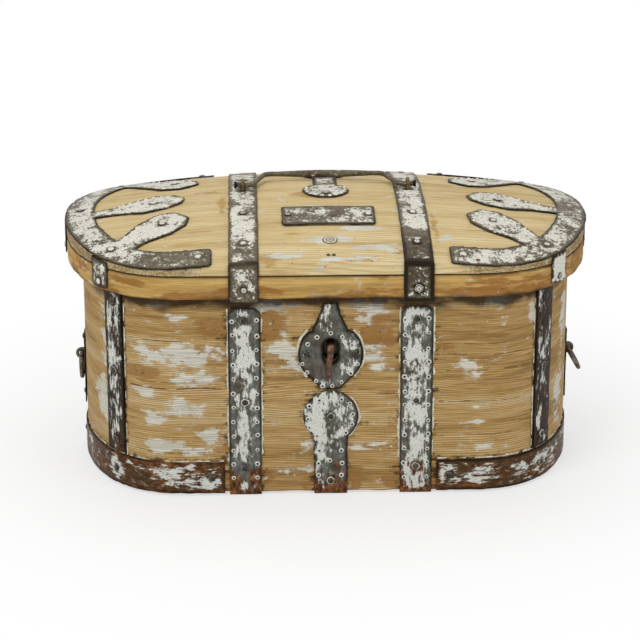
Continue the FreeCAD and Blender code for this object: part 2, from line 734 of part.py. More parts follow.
for name, side in SIDES.items():
    outward = Rotation(Vector(0, 0, 1), Vector(side, 0, 0))
    place = Placement(Vector(side * RING_X, 0, size("ring_height")), outward)
    staple = new_staple(f"ring_staple_{name}", STAPLE_BEND, ring_bite)
    staple.Placement = place
    parts[staple.Label] = staple

    label = f"ring_plate_{name}"
    body = new_body(label)
    edges = sector(band_seat, BAND_FACE, 0, size("ring_plate_width"), (side, 1))
    radius = "sizes.lid_end_radius - sizes.lid_overhang + sizes.iron"
    sketch = add_sketch(body, "XY_Plane", [edges], "sizes.ring_plate_top - sizes.ring_plate_height",
                        [(0, "outer_radius", radius)])
    add_feature(body, "Pad", sketch, "sizes.ring_plate_height")
    top = size("ring_plate_top")
    low = top - size("ring_plate_height")
    heights = (top - size("nail_inset"), low + size("nail_inset"))
    places = nail_places([outline_spot(BAND_FACE, 0, (side, 1), z) for z in heights])
    parts[label] = punched(label, body, places, staple_bores(STAPLE_BEND, ring_bite, place))
    box_nails += places

    ring = new_body(f"ring_{name}")
    half = size("ring_width") / 2
    drop = size("ring_drop")
    corners = [(half, 0, half * 0.45), (half, -drop * 0.45, half), (half * 0.55, -drop, half * 0.6)]
    loop = rounded([(0, 0, 0)] + corners + [(-x, z, radius) for x, z, radius in reversed(corners)])
    rod = circle((0, 0), size("ring_radius"))
    add_pipe(ring, "YZ_Plane", loop, "XZ_Plane", rod, None, [(0, "rod_radius", "sizes.ring_radius")])
    stand_off = size("ring_angle") if side > 0 else 0
    swing = Rotation(Vector(0, -1, 0), stand_off)
    ring.Placement = Placement(Vector(side * RING_X, 0, size("ring_height")), swing)
    parts[ring.Label] = ring


# Latch behind the front wall

PLATE_FACE = BOX_INSIDE - IRON
BOLT_FRONT = PLATE_FACE - size("bolt_standoff")
BOLT_BACK = BOLT_FRONT - size("bolt_thickness")
BOLT_HALF = size("bolt_width") / 2
BOLT_TOP = BOLT_Z + BOLT_HALF
BOLT_LOW = BOLT_Z - BOLT_HALF
BOLT_START = size("bolt_tip") - size("bolt_length")
inside_face = "sizes.lid_depth / 2 - sizes.lid_overhang - sizes.wall_thickness"
bolt_face = f"{inside_face} - sizes.iron - sizes.bolt_standoff"

latch_plate = new_body("latch_plate")
plate_top = BOLT_TOP + size("guide_iron") + size("bolt_clearance")
plate_end = size("bolt_tip") - size("latch_plate_setback")
plate = rectangle(BOLT_START, SHANK_Z - size("latch_plate_margin"), plate_end, plate_top)
bore = circle((0, SHANK_Z), size("shank_radius") + size("running_clearance"))
sketch = add_sketch(latch_plate, "XZ_Plane", [plate, bore], inside_face,
                    [(1, "plate_height", "sizes.bolt_rise + sizes.bolt_width / 2 + sizes.guide_iron"
                      " + sizes.bolt_clearance + sizes.latch_plate_margin")])
add_feature(latch_plate, "Pad", sketch, "sizes.iron", reverse=True)
parts["latch_plate"] = latch_plate

guide_places = {
    "left": BOLT_START + size("guide_inset"),
    "right": size("bolt_tip") - size("guide_inset") - size("guide_length"),
}
for name, start in guide_places.items():
    guide = new_body(f"bolt_guide_{name}")
    room = size("bolt_clearance")
    metal = size("guide_iron")
    inner = -BOLT_BACK + room
    profile = polygon([
        (-PLATE_FACE, BOLT_LOW - room - metal), (inner + metal, BOLT_LOW - room - metal),
        (inner + metal, BOLT_TOP + room + metal), (-PLATE_FACE, BOLT_TOP + room + metal),
        (-PLATE_FACE, BOLT_TOP + room), (inner, BOLT_TOP + room),
        (inner, BOLT_LOW - room), (-PLATE_FACE, BOLT_LOW - room),
    ])
    sketch = add_sketch(guide, "YZ_Plane", [profile], f"{start}",
                        [(7, "metal", "sizes.guide_iron")])
    add_feature(guide, "Pad", sketch, "sizes.guide_length")
    parts[guide.Label] = guide

bolt = new_body("bolt")
slot_half = size("arm_disc_radius") + size("bolt_clearance")
slot_top = BOLT_Z + slot_half
bar = polygon([
    (BOLT_START, BOLT_LOW), (-slot_half, BOLT_LOW), (-slot_half, slot_top), (slot_half, slot_top),
    (slot_half, BOLT_LOW), (size("bolt_tip"), BOLT_LOW),
    (size("bolt_tip"), BOLT_TOP), (BOLT_START, BOLT_TOP),
])
sketch = add_sketch(bolt, "XZ_Plane", [bar], bolt_face, [(5, "bolt_width", "sizes.bolt_width")])
add_feature(bolt, "Pad", sketch, "sizes.bolt_thickness", reverse=True)
parts["bolt"] = bolt

latch_arm = new_body("latch_arm")
hub = size("shank_radius") * 2
half = size("arm_width") / 2
disc = size("arm_disc_radius")
hub_meet = math.acos(half / hub)
disc_meet = math.acos(half / disc)
low = SHANK_Z
high = BOLT_Z
arm = [
    arc((0, low), hub, math.pi - hub_meet, 2 * math.pi + hub_meet),
    line((half, low + hub * math.sin(hub_meet)), (half, high - disc * math.sin(disc_meet))),
    arc((0, high), disc, -disc_meet, math.pi + disc_meet),
    line((-half, high - disc * math.sin(disc_meet)), (-half, low + hub * math.sin(hub_meet))),
]
hole = circle((0, low), size("shank_radius") + size("running_clearance") / 2)
sketch = add_sketch(latch_arm, "XZ_Plane", [arm, hole], bolt_face,
                    [(0, "hub_radius", "sizes.shank_radius * 2"),
                     (2, "disc_radius", "sizes.arm_disc_radius")])
add_feature(latch_arm, "Pad", sketch, "sizes.bolt_thickness", reverse=True)
parts["latch_arm"] = latch_arm

drop_pin = new_body("drop_pin")
drop_y = IRON_FRONT + size("staple_clearance") + size("drop_radius")
shank = circle((0, SHANK_Z), size("shank_radius"))
sketch = add_sketch(drop_pin, "XZ_Plane", [shank], f"{drop_y}", [(0, "shank_radius", "sizes.shank_radius")])
shank_length = drop_y - BOLT_BACK + size("bolt_clearance")
add_feature(drop_pin, "Pad", sketch, f"{shank_length}", reverse=True)
wide = size("drop_radius")
thin = size("drop_tip_radius")
head_z = SHANK_Z + wide
tip_z = SHANK_Z - size("drop_length")
profile = [
    line((-drop_y, tip_z), (-drop_y, head_z)),
    line((-drop_y, head_z), (-drop_y + wide * 0.6, head_z)),
    line((-drop_y + wide * 0.6, head_z), (-drop_y + wide, head_z - wide * 0.5)),
    line((-drop_y + wide, head_z - wide * 0.5), (-drop_y + thin, tip_z + thin * 0.5)),
    line((-drop_y + thin, tip_z + thin * 0.5), (-drop_y + thin * 0.4, tip_z)),
    line((-drop_y + thin * 0.4, tip_z), (-drop_y, tip_z)),
]
sketch = add_sketch(drop_pin, "YZ_Plane", [profile])
sketch.addGeometry(line((-drop_y, 0), (-drop_y, 1)), True)
drop = add_feature(drop_pin, "Revolution", sketch)
drop.ReferenceAxis = (sketch, ["Axis0"])
drop.Angle = 360
lean = Rotation(Vector(0, 1, 0), size("drop_lean"))
drop_pin.Placement = Placement(Vector(), lean, Vector(0, 0, SHANK_Z))
parts["drop_pin"] = drop_pin


# Wood of the lid

def hollow_core():
    """What is carved out below the lid boards."""
    body = new_body("lid_hollow")
    sketch = add_sketch(body, "XY_Plane", [oval(-size("lid_land"))], "sizes.seam_height - sizes.rim_height")
    add_feature(body, "Pad", sketch, "sizes.dome_rise_across * 5")
    trim_to_dome(body, None, -size("board_crown"))
    return body


plank_ends = [-CLEAR, size("front_joint_y"), size("back_joint_y"), CLEAR]
hollow = hollow_core()
for index, name in enumerate(("front", "middle", "back")):
    label = f"lid_plank_{name}"
    body = new_body(f"{label}_blank")
    sketch = add_sketch(body, "XY_Plane", [oval(0)], "sizes.seam_height",
                        [(1, "corner_radius", "sizes.lid_corner_radius")])
    add_feature(body, "Pad", sketch, "sizes.dome_rise_across * 4")
    trim_to_dome(body, None, 0)
    gap = size("plank_joint") / 2
    cuts = []
    if index > 0:
        cuts.append(rectangle(-CLEAR, -CLEAR, CLEAR, plank_ends[index] + gap))
    if index < 2:
        cuts.append(rectangle(-CLEAR, plank_ends[index + 1] - gap, CLEAR, CLEAR))
    sketch = add_sketch(body, "XY_Plane", cuts, "sizes.seam_height * 2")
    add_feature(body, "Pocket", sketch, "sizes.seam_height * 2")
    plank = doc.addObject("Part::Cut", f"{label}_hollowed")
    plank.Base = body
    plank.Tool = hollow
    plank.Label = label
    parts[label] = plank

lid_rim = new_body("lid_rim")
sketch = add_sketch(lid_rim, "XY_Plane", [oval(0), oval(RIM_INSIDE)], "sizes.seam_height - sizes.rim_height",
                    [(1, "corner_radius", "sizes.lid_corner_radius")])
add_feature(lid_rim, "Pad", sketch, "sizes.rim_height - sizes.seam_gap")


def upper_rim_edges(shape):
    top = max(shape.Faces, key=lambda face: face.CenterOfMass.z)
    return top.OuterWire.Edges


soften(lid_rim, "Chamfer", upper_rim_edges, "Size", "sizes.rim_chamfer")
parts["lid_rim"] = lid_rim


# Irons of the lid

def dome_nails(spots):
    return nail_places([(dome_point(x, y, IRON), dome_normal(x, y)) for x, y in spots])


def lip_nails(x, face):
    height = size("seam_height") - size("rim_height") * 0.55
    return nail_places([(Vector(x, face * (HALF_DEPTH + IRON), height), Vector(0, face, 0))])


def upper_folds(shape):
    """Edges where a lid strap turns down over the front and the back."""
    depth = HALF_DEPTH + IRON
    long_edges = [edge for edge in shape.Edges if edge.Length > size("hinge_tongue")]
    return [edge for edge in long_edges
            if all(math.isclose(abs(vertex.Y), depth) for vertex in edge.Vertexes)
            and all(vertex.Z > size("seam_height") for vertex in edge.Vertexes)]


strap_inner_edge = STRAP_X - size("lid_strap_width") / 2
HANDLE_BEND = size("handle_radius") + size("staple_clearance") + size("staple_radius")
KNOB_RADIUS = HANDLE_BEND - size("staple_radius") + size("knob_lip")
HANDLE_Z = dome_point(strap_inner_edge, size("handle_y"), IRON).z + KNOB_RADIUS
handle_bite = HANDLE_Z - dome_point(STRAP_X, size("handle_y")).z + size("staple_bite")

for name, side in SIDES.items():
    x = side * STRAP_X
    turn = Rotation(Vector(0, 0, 1), 90)
    place = Placement(Vector(x, size("handle_y"), HANDLE_Z), turn)
    staple = new_staple(f"handle_staple_{name}", HANDLE_BEND, handle_bite)
    staple.Placement = place
    parts[staple.Label] = staple

    label = f"lid_strap_{name}"
    body = new_body(label)
    half = size("lid_strap_width") / 2
    depth = HALF_DEPTH + IRON
    strip = rectangle(x - half, -depth, x + half, depth)
    sketch = add_sketch(body, "XY_Plane", [strip], "sizes.seam_height - sizes.rim_height - sizes.lip_drop",
                        [(0, "strap_width", "sizes.lid_strap_width")])
    add_feature(body, "Pad", sketch, "sizes.rim_height + sizes.dome_rise_across * 4")
    trim_to_dome(body, size("seat"), IRON, inside_only=True)
    soften(body, "Fillet", upper_folds, "Radius", "sizes.iron * 0.8")
    tongue = rectangle(HALF_DEPTH, HINGE_Z, HALF_DEPTH + IRON, LIP_BOTTOM + IRON)
    add_eye(body, x, size("hinge_tongue"), tongue)
    add_bore(body, x)
    places = dome_nails([(x, y * HALF_DEPTH) for y in (-0.8, -0.4, 0.36, 0.72)])
    for face in FACES.values():
        places += lip_nails(x, face)
    parts[label] = punched(label, body, places, staple_bores(HANDLE_BEND, handle_bite, place))
    lid_nails += places


# Outline of each leaf as shares of the half length and half depth of the lid, with corner radii.
# Each runs from the end band round the tip and back; the last pair is the place of its nail.
FRONT_LEAF = [
    (0.814, -0.67, 0), (0.714, -0.402, 18), (0.651, -0.292, 16), (0.58, -0.268, 14), (0.52, -0.373, 12),
    (0.531, -0.498, 12), (0.594, -0.603, 14), (0.669, -0.665, 18), (0.76, -0.794, 0),
]
MIDDLE_LEAF = [
    (0.909, -0.072, 0), (0.811, -0.043, 20), (0.737, 0.038, 18), (0.663, 0.105, 18), (0.583, 0.086, 14),
    (0.54, -0.014, 10), (0.551, -0.105, 10), (0.606, -0.182, 16), (0.697, -0.23, 20), (0.777, -0.201, 20),
    (0.909, -0.191, 0),
]
BACK_LEAF = [
    (0.814, 0.67, 0), (0.709, 0.402, 18), (0.64, 0.273, 16), (0.563, 0.239, 14), (0.491, 0.354, 12),
    (0.497, 0.478, 12), (0.571, 0.598, 14), (0.663, 0.665, 18), (0.76, 0.794, 0),
]
LEAVES = [(FRONT_LEAF, (0.623, -0.45)), (MIDDLE_LEAF, (0.663, -0.067)), (BACK_LEAF, (0.589, 0.44))]


def lid_spot(share_x, share_y, side):
    """Place on the lid from its shares of the half length and half depth."""
    return side * share_x * size("lid_length") / 2, share_y * HALF_DEPTH


def leaf(shares, side):
    return rounded([(*lid_spot(x, y, side), radius) for x, y, radius in shares])


def lower_clip_corners(shape):
    """Short edges through the iron at the lower end of a clip."""
    low = min(vertex.Z for vertex in shape.Vertexes)
    return [edge for edge in shape.Edges
            if edge.Length < IRON and all(math.isclose(vertex.Z, low) for vertex in edge.Vertexes)]


band_inner = -size("end_band_width")
band_nail = band_inner / 2

for name, side in SIDES.items():
    label = f"lid_end_band_{name}"
    ring = end_ring(band_inner, IRON, size("end_band_reach"), side, size("end_band_tip"))
    leaves = [leaf(shares, side) for shares, nail_share in LEAVES]
    body = lid_iron(label, [ring] + leaves)
    spots = [outline_spot(band_nail, 0, (side, 1), 0)[0]]
    for face in FACES.values():
        spots.append(outline_spot(band_nail, CORNER_ANGLE, (side, face), 0)[0])
        near_end = side * (size("end_band_reach") + size("strap_nail_inset"))
        spots.append(Vector(near_end, face * (HALF_DEPTH + band_nail), 0))
    spots = [(spot.x, spot.y) for spot in spots]
    spots += [lid_spot(*nail_share, side) for shares, nail_share in LEAVES]
    places = dome_nails(spots)
    parts[label] = punched(label, body, places)
    lid_nails += places

    clip_spots = {"end": (0, 1), "front": (CORNER_ANGLE, -1), "back": (CORNER_ANGLE, 1)}
    for spot_name, (angle, face) in clip_spots.items():
        label = f"rim_clip_{spot_name}_{name}"
        clip = new_body(label)
        edges = sector(size("seat"), IRON, angle, size("clip_width"), (side, face))
        clip_start = "sizes.seam_height - sizes.rim_height + sizes.clip_lift"
        sketch = add_sketch(clip, "XY_Plane", [edges], clip_start)
        add_feature(clip, "Pad", sketch, "sizes.rim_height + sizes.dome_rise_across * 2")
        trim_to_dome(clip, None, 0)
        soften(clip, "Fillet", lower_clip_corners, "Radius", "sizes.clip_corner")
        height = RIM_BOTTOM + size("clip_lift") + size("nail_inset")
        places = nail_places([outline_spot(IRON, angle, (side, face), height)])
        parts[label] = punched(label, clip, places)
        lid_nails += places


def centre_plate_outline():
    """Two round lobes joined by a neck, front to back."""
    radius = size("centre_lobe_radius")
    half = size("centre_neck_width") / 2
    back = size("centre_lobe_pitch")
    meet = math.asin(half / radius)
    shift = radius * math.cos(meet)
    return [
        arc((0, 0), radius, math.pi / 2 + meet, 5 * math.pi / 2 - meet),
        line((half, shift), (half, back - shift)),
        arc((0, back), radius, meet - math.pi / 2, 3 * math.pi / 2 - meet),
        line((-half, back - shift), (-half, shift)),
    ]


centre_plate = lid_iron("centre_plate", [centre_plate_outline()],
                        [(0, "lobe_radius", "sizes.centre_lobe_radius")])
lobe_nail = size("centre_lobe_radius") / 2
places = dome_nails([(0, -lobe_nail), (0, size("centre_lobe_pitch") + lobe_nail)])
parts["centre_plate"] = punched("centre_plate", centre_plate, places)
lid_nails += places

half_long = size("plain_plate_length") / 2
half_wide = size("plain_plate_width") / 2
plate_y = size("plain_plate_y")
corner = size("plain_plate_corner")
plate = rounded([
    (-half_long, plate_y - half_wide, corner), (half_long, plate_y - half_wide, corner),
    (half_long, plate_y + half_wide, corner), (-half_long, plate_y + half_wide, corner),
])
plain_plate = lid_iron("plain_plate", [plate], [(0, "corner_radius", "sizes.plain_plate_corner")])
places = dome_nails([(way * (half_long - size("nail_inset")), plate_y) for way in SIDES.values()])
parts["plain_plate"] = punched("plain_plate", plain_plate, places)
lid_nails += places

keeper = new_body("keeper")
keeper_x = size("bolt_tip") + size("keeper_gap")
room = 2 * size("bolt_clearance")
hanger = rectangle(-BOLT_FRONT - 3 * room, size("seam_height") - size("keeper_drop"),
                   -BOLT_BACK + 5 * room, size("seam_height"))
window = rectangle(-BOLT_FRONT - room, BOLT_LOW - room, -BOLT_BACK + room, BOLT_TOP + room)
sketch = add_sketch(keeper, "YZ_Plane", [hanger, window], f"{keeper_x}",
                    [(1, "keeper_drop", "sizes.keeper_drop")])
add_feature(keeper, "Pad", sketch, "sizes.keeper_iron")
pad_half = size("guide_length")
base = rectangle(keeper_x - pad_half, -BOLT_FRONT - 3 * room, keeper_x + size("keeper_iron") + pad_half,
                 -BOLT_BACK + pad_half)
sketch = add_sketch(keeper, "XY_Plane", [base], "sizes.seam_height - sizes.iron")
add_feature(keeper, "Pad", sketch, "sizes.iron")
parts["keeper"] = keeper


# Top handle

handle = new_body("top_handle")
reach = size("handle_reach")
stub_end = STRAP_X + size("handle_stub")
shoulder = size("grip_length") / 2
neck = size("handle_neck")
corners = [(stub_end, 0, 0), (STRAP_X - neck, 0, neck * 0.75), (shoulder + neck / 2, reach, neck)]
bail = rounded(corners + [(-x, y, radius) for x, y, radius in reversed(corners)], closed=False)
rod = circle((0, 0), size("handle_radius"))
add_pipe(handle, "XY_Plane", bail, "YZ_Plane", rod, f"{stub_end}",
         [(0, "rod_radius", "sizes.handle_radius")])
thin = size("handle_radius") * 0.8
thick = size("grip_radius")
swelling = [(shoulder, reach + thin), (0, reach + thick), (-shoulder, reach + thin)]
grip = [
    line((-shoulder, reach), (shoulder, reach)),
    line((shoulder, reach), (shoulder, reach + thin)),
    Part.Arc(*(Vector(x, y, 0) for x, y in swelling)),
    line((-shoulder, reach + thin), (-shoulder, reach)),
]
sketch = add_sketch(handle, "XY_Plane", [grip])
sketch.addGeometry(line((-shoulder, reach), (-shoulder / 2, reach)), True)
swell = add_feature(handle, "Revolution", sketch)
swell.ReferenceAxis = (sketch, ["Axis0"])
swell.Angle = 360
for way in (-1, 1):
    knob = circle((0, 0), KNOB_RADIUS)
    sketch = add_sketch(handle, "YZ_Plane", [knob], f"{way * stub_end}")
    add_feature(handle, "Pad", sketch, "sizes.staple_radius", reverse=way < 0)
grip_y = size("handle_y") + reach
grip_z = dome_point(0, grip_y, IRON).z + size("grip_radius") + size("staple_clearance")
tilt = math.degrees(math.asin((grip_z - HANDLE_Z) / reach))
handle.Placement = Placement(Vector(0, size("handle_y"), HANDLE_Z), Rotation(Vector(1, 0, 0), tilt))
parts["top_handle"] = handle


# Forged nails

def add_taper(body, first, first_z, second, second_z):
    loft = body.newObject("PartDesign::AdditiveLoft", f"{body.Name}_loft")
    loft.Profile = add_sketch(body, "XY_Plane", [first], first_z)
    loft.Sections = [add_sketch(body, "XY_Plane", [second], second_z)]
    loft.Ruled = True


def regular(radius, count):
    return polygon([polar((0, 0), radius, 2 * math.pi * step / count) for step in range(count)])


nail = new_body("nail")
head_radius = size("nail_head_radius")
half = size("nail_shank") / 2
point = half / 3
add_taper(nail, regular(head_radius, 7), "0", regular(head_radius * 0.45, 7), "sizes.nail_head")
add_taper(nail, rectangle(-half, -half, half, half), "0", rectangle(-point, -point, point, point),
          "-sizes.nail_length")
doc.recompute()


def nail_group(label, places):
    group = doc.addObject("Part::Feature", label)
    copies = []
    for place in places:
        copy = nail.Shape.copy()
        copy.Placement = place
        copies.append(copy)
    group.Shape = Part.makeCompound(copies)
    group.Label = label
    return group


parts["box_nails"] = nail_group("box_nails", box_nails)
parts["lid_nails"] = nail_group("lid_nails", lid_nails)

doc.recompute()

faults = [item.Label for item in doc.Objects if {"Invalid", "Error"} & set(item.State)]
faults += [label for label, item in parts.items() if item.Shape.isNull() or not item.Shape.isValid()]
if faults:
    raise SystemExit(f"not built: {sorted(set(faults))}")

os.makedirs("parts", exist_ok=True)
for label, item in parts.items():
    item.Shape.exportStep(f"parts/{label}.step")
print(f"{len(parts)} parts, hinge axis {HINGE_Y:.2f} {HINGE_Z:.2f}")
print(f"handle axis {HANDLE_Z:.2f}, ring axis {RING_X:.2f}")
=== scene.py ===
"""Oval bentwood strongbox with a domed plank lid: the looks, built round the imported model."""
import json
import math
import random

import bmesh
import bpy
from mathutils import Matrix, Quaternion, Vector, kdtree, noise

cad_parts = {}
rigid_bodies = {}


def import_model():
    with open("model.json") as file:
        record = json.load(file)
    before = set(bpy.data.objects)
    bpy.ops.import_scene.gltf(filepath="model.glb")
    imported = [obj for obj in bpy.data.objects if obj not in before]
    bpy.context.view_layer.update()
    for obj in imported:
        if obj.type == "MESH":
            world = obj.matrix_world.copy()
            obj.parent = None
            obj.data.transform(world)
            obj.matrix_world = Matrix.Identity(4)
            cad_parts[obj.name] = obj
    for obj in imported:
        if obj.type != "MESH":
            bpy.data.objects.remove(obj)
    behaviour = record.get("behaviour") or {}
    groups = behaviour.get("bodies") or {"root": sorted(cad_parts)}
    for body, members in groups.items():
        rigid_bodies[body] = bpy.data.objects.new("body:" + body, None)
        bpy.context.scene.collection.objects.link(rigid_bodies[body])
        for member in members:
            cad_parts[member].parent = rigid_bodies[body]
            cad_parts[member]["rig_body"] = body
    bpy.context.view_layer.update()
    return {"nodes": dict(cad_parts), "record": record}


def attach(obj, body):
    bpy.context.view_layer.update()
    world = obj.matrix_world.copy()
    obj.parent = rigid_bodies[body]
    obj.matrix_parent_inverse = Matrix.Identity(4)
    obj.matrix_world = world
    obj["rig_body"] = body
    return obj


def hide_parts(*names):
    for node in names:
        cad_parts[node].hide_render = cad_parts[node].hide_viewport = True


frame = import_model()
nodes = frame["nodes"]
scene = bpy.context.scene
random.seed(11)

MM = 0.001
WELD = 1e-6
UP = Vector((0, 0, 1))
FRONT = Vector((0, -1, 0))
SLOT_OF = {part["node"]: part["material_slot"] for part in frame["record"]["subparts"]}

# Sizes of the part, as in its source
IRON = 2.5 * MM
NAIL_DEPTH = 3.2 * MM
HALF_DEPTH = 209 * MM
STRAP_X = 112 * MM
STRAP_HALF = 21.5 * MM
STRAP_TOP = 262 * MM
WALL_FRONT = 189 * MM
IRON_FRONT = 191.5 * MM
WALL_OFFSET = -20 * MM
SEAM = 310 * MM
RIM_BOTTOM = 278 * MM
BASE_BAND_TOP = 47.5 * MM
BASE_BAND_REACH = 139 * MM
END_BAND_WIDTH = 38 * MM
CROWN = 362 * MM
ACROSS = 698.5 * MM
ALONG = 2056.7 * MM
HINGE = Vector((0, 207, 268.5)) * MM
CORNER = Vector((191.03, 69)) * MM
CORNER_RADIUS = 140 * MM
END_X = 75 * MM
END_RADIUS = 275 * MM
TURN = math.radians(30.74)
BAND_ANGLE = math.radians(40.53)
BAND_HALF = 18.5 * MM
LOCK_Z = 197 * MM
LOCK_RADIUS = 43 * MM
LOBE_Z = 110 * MM
LOBE_RADIUS = 36.5 * MM


def dome_point(x, y, lift=0.0):
    """Point of the lid's top above x, y, moved out by lift."""
    across = ACROSS + lift
    swing = ALONG + lift - across + math.sqrt(across ** 2 - y ** 2)
    return Vector((x, y, CROWN - ALONG + math.sqrt(swing ** 2 - x ** 2)))


def dome_normal(x, y):
    """Outward direction of the lid's top above x, y."""
    along = dome_point(x + MM, y) - dome_point(x - MM, y)
    across = dome_point(x, y + MM) - dome_point(x, y - MM)
    return along.cross(across).normalized()


def on_lid(spots, lift):
    """Point, moved out by lift, and outward direction on the lid's top for each spot x, y in mm."""
    return [(dome_point(x * MM, y * MM, lift), dome_normal(x * MM, y * MM)) for x, y in spots]


def outline(offset, turn, side=1, face=-1):
    """Point and outward direction on the oval outline where it faces turn away from the end."""
    on_corner = turn > TURN
    centre = CORNER if on_corner else Vector((END_X, 0))
    radius = (CORNER_RADIUS if on_corner else END_RADIUS) + offset
    out = Vector((side * math.cos(turn), face * math.sin(turn), 0))
    return Vector((side * centre.x, face * centre.y, 0)) + out * radius, out


def round_oval(offset, step):
    """Points and outward directions all round the oval outline, from the front of the right end."""
    count = round(math.pi / 2 * CORNER_RADIUS / step)
    quarter = [math.pi / 2 * index / count for index in range(count + 1)]
    half = [outline(offset, turn, 1, -1) for turn in reversed(quarter)]
    half += [outline(offset, turn, 1, 1) for turn in quarter[1:]]
    count = round(2 * CORNER.x / step)
    for index in range(1, count):
        spot = Vector((CORNER.x * (1 - 2 * index / count), HALF_DEPTH + offset, 0))
        half.append((spot, Vector((0, 1, 0))))
    return half + [(-spot, -out) for spot, out in half]


def wall_front(x):
    """Point and outward direction on the front of the wall."""
    beyond = abs(x) - CORNER.x
    if beyond <= 0:
        return Vector((x, -WALL_FRONT, 0)), FRONT
    turn = math.acos(beyond / (CORNER_RADIUS + WALL_OFFSET))
    return outline(WALL_OFFSET, turn, math.copysign(1, x))


# Finishes

def linear(code):
    """sRGB hex to linear RGBA."""
    parts = [int(code[place:place + 2], 16) / 255 for place in (0, 2, 4)]
    return (*(p / 12.92 if p <= 0.04045 else ((p + 0.055) / 1.055) ** 2.4 for p in parts), 1.0)


def fill(tree, node, inputs):
    """Values or links for the inputs of a shader node."""
    for key, value in inputs.items():
        if isinstance(value, bpy.types.NodeSocket):
            tree.links.new(value, node.inputs[key])
        else:
            node.inputs[key].default_value = value


def add(tree, kind, inputs=None, stops=(), out=0, **settings):
    """One of the outputs of a new shader node, with its settings, its inputs and the stops of its ramp."""
    made = tree.nodes.new(f"ShaderNode{kind}")
    for name, value in settings.items():
        setattr(made, name, value)
    fill(tree, made, inputs or {})
    if stops:
        marks = made.color_ramp.elements
        while len(marks) < len(stops):
            marks.new(1.0)
        for mark, (place, colour) in zip(marks, stops):
            mark.position = place
            mark.color = linear(colour)
    return made.outputs[out]


def new_finish(name):
    """A new material, its node tree, its surface shader and the place on the object."""
    finish = bpy.data.materials.new(name)
    finish.use_nodes = True
    tree = finish.node_tree
    shader = tree.nodes["Principled BSDF"]
    return finish, tree, shader, add(tree, "TexCoord", out="Object")


def per_metre(size_mm):
    """Scale of a pattern whose features are size_mm wide."""
    return 1000 / size_mm


def worn_iron(name, tones, paint, islands=(1, 1, 1), scratches=(1, 1, 1), edge_rub=0.12, bloom_share=0.0):
    """Forged wrought iron under the last of an oil paint: the paint holds in crisp islands with thin grey
    fringes, its edges are rubbed dark and darkened further with painted shade, and rust blooms where it is
    bare. tones are the rubbed edge with its painted shade, the darker and the lighter iron; islands and
    scratches stretch those marks along a strap. The grit of the paint would be too fine to show, so it is
    drawn 1.3 mm wide."""
    finish, tree, shader, place = new_finish(name)
    marks = {key: add(tree, "Attribute", out="Fac", attribute_name=key)
             for key in ("inset", "paint", "rust", "tarnish")}
    # Stretch, size in mm, detail and roughness of each pattern
    patterns = {
        "island": (islands, 22, 6.0, 0.7), "flake": (islands, 5, 5.0, 0.66),
        "scratch": (scratches, 2.4, 3.0, 0.6), "bloom": (islands, 30, 6.0, 0.7),
        "grit": ((1, 1, 1), 1.3, 2.0, 0.5),
    }
    noises = {}
    for key, (stretch, size_mm, detail, rough) in patterns.items():
        drawn = add(tree, "VectorMath", {0: place, 1: stretch}, operation="MULTIPLY")
        noises[key] = add(tree, "TexNoise", {"Vector": drawn, "Scale": per_metre(size_mm),
                                             "Detail": detail, "Roughness": rough})
    cover = marks["paint"]
    for value, share in ((noises["island"], 0.5), (noises["flake"], 0.28), (noises["scratch"], 0.22),
                         (marks["inset"], edge_rub), (marks["rust"], -0.05)):
        cover = add(tree, "Math", {0: value, 1: share, 2: cover}, operation="MULTIPLY_ADD")
    fringe = [(0.465 + edge_rub, "000000"), (0.498 + edge_rub, "7A7A7A"), (0.515 + edge_rub, "FFFFFF")]
    painted = add(tree, "ValToRGB", {0: cover}, fringe)

    iron = add(tree, "ValToRGB", {0: noises["flake"]}, [(0.36, tones[1]), (0.64, tones[2])])
    brown = add(tree, "MapRange", {"Value": noises["bloom"], "From Min": 0.46, "From Max": 0.66,
                                   "To Max": 0.65})
    iron = add(tree, "Mix", {0: brown, 6: iron, 7: linear("43331F")}, out=2, data_type="RGBA")
    # Dark margins along every sharp edge and crease of the iron: rubbed iron, and painted shade at the edges
    rubbed = add(tree, "Math", {0: marks["tarnish"], 1: -0.6, 2: marks["inset"]}, operation="MULTIPLY_ADD")
    rubbed = add(tree, "MapRange", {"Value": rubbed, "From Min": 0.08, "From Max": 0.55})
    iron = add(tree, "Mix", {0: rubbed, 6: linear(tones[0]), 7: iron}, out=2, data_type="RGBA")
    bloom = add(tree, "Math", {0: marks["rust"], 1: 0.4, 2: noises["bloom"]}, operation="MULTIPLY_ADD")
    rusted = add(tree, "MapRange", {"Value": bloom, "From Min": 0.66 - bloom_share,
                                    "From Max": 0.8 - bloom_share, "To Max": 0.9})
    rust = [(0.38, "341D0D"), (0.5, "5F3C20"), (0.64, "91592A")]
    scale = add(tree, "ValToRGB", {0: noises["flake"]}, rust)
    iron = add(tree, "Mix", {0: rusted, 6: iron, 7: scale}, out=2, data_type="RGBA")
    chalk = add(tree, "ValToRGB", {0: noises["grit"]}, [(0.34, paint[0]), (0.58, paint[1])])
    colour = add(tree, "Mix", {0: painted, 6: iron, 7: chalk}, out=2, data_type="RGBA")

    metal = add(tree, "MapRange", {"Value": painted, "To Min": 0.35, "To Max": 0.0})
    rough = add(tree, "MapRange", {"Value": painted, "To Min": 0.5, "To Max": 0.8})
    relief = add(tree, "Math", {0: painted, 1: 0.5, 2: noises["flake"]}, operation="MULTIPLY_ADD")
    relief = add(tree, "Math", {0: noises["grit"], 1: 0.2, 2: relief}, operation="MULTIPLY_ADD")
    bump = add(tree, "Bump", {"Height": relief, "Strength": 0.6, "Distance": 0.5 * MM})
    fill(tree, shader, {"Base Color": colour, "Metallic": metal, "Roughness": rough, "Normal": bump,
                        "Specular IOR Level": 0.12})
    return finish


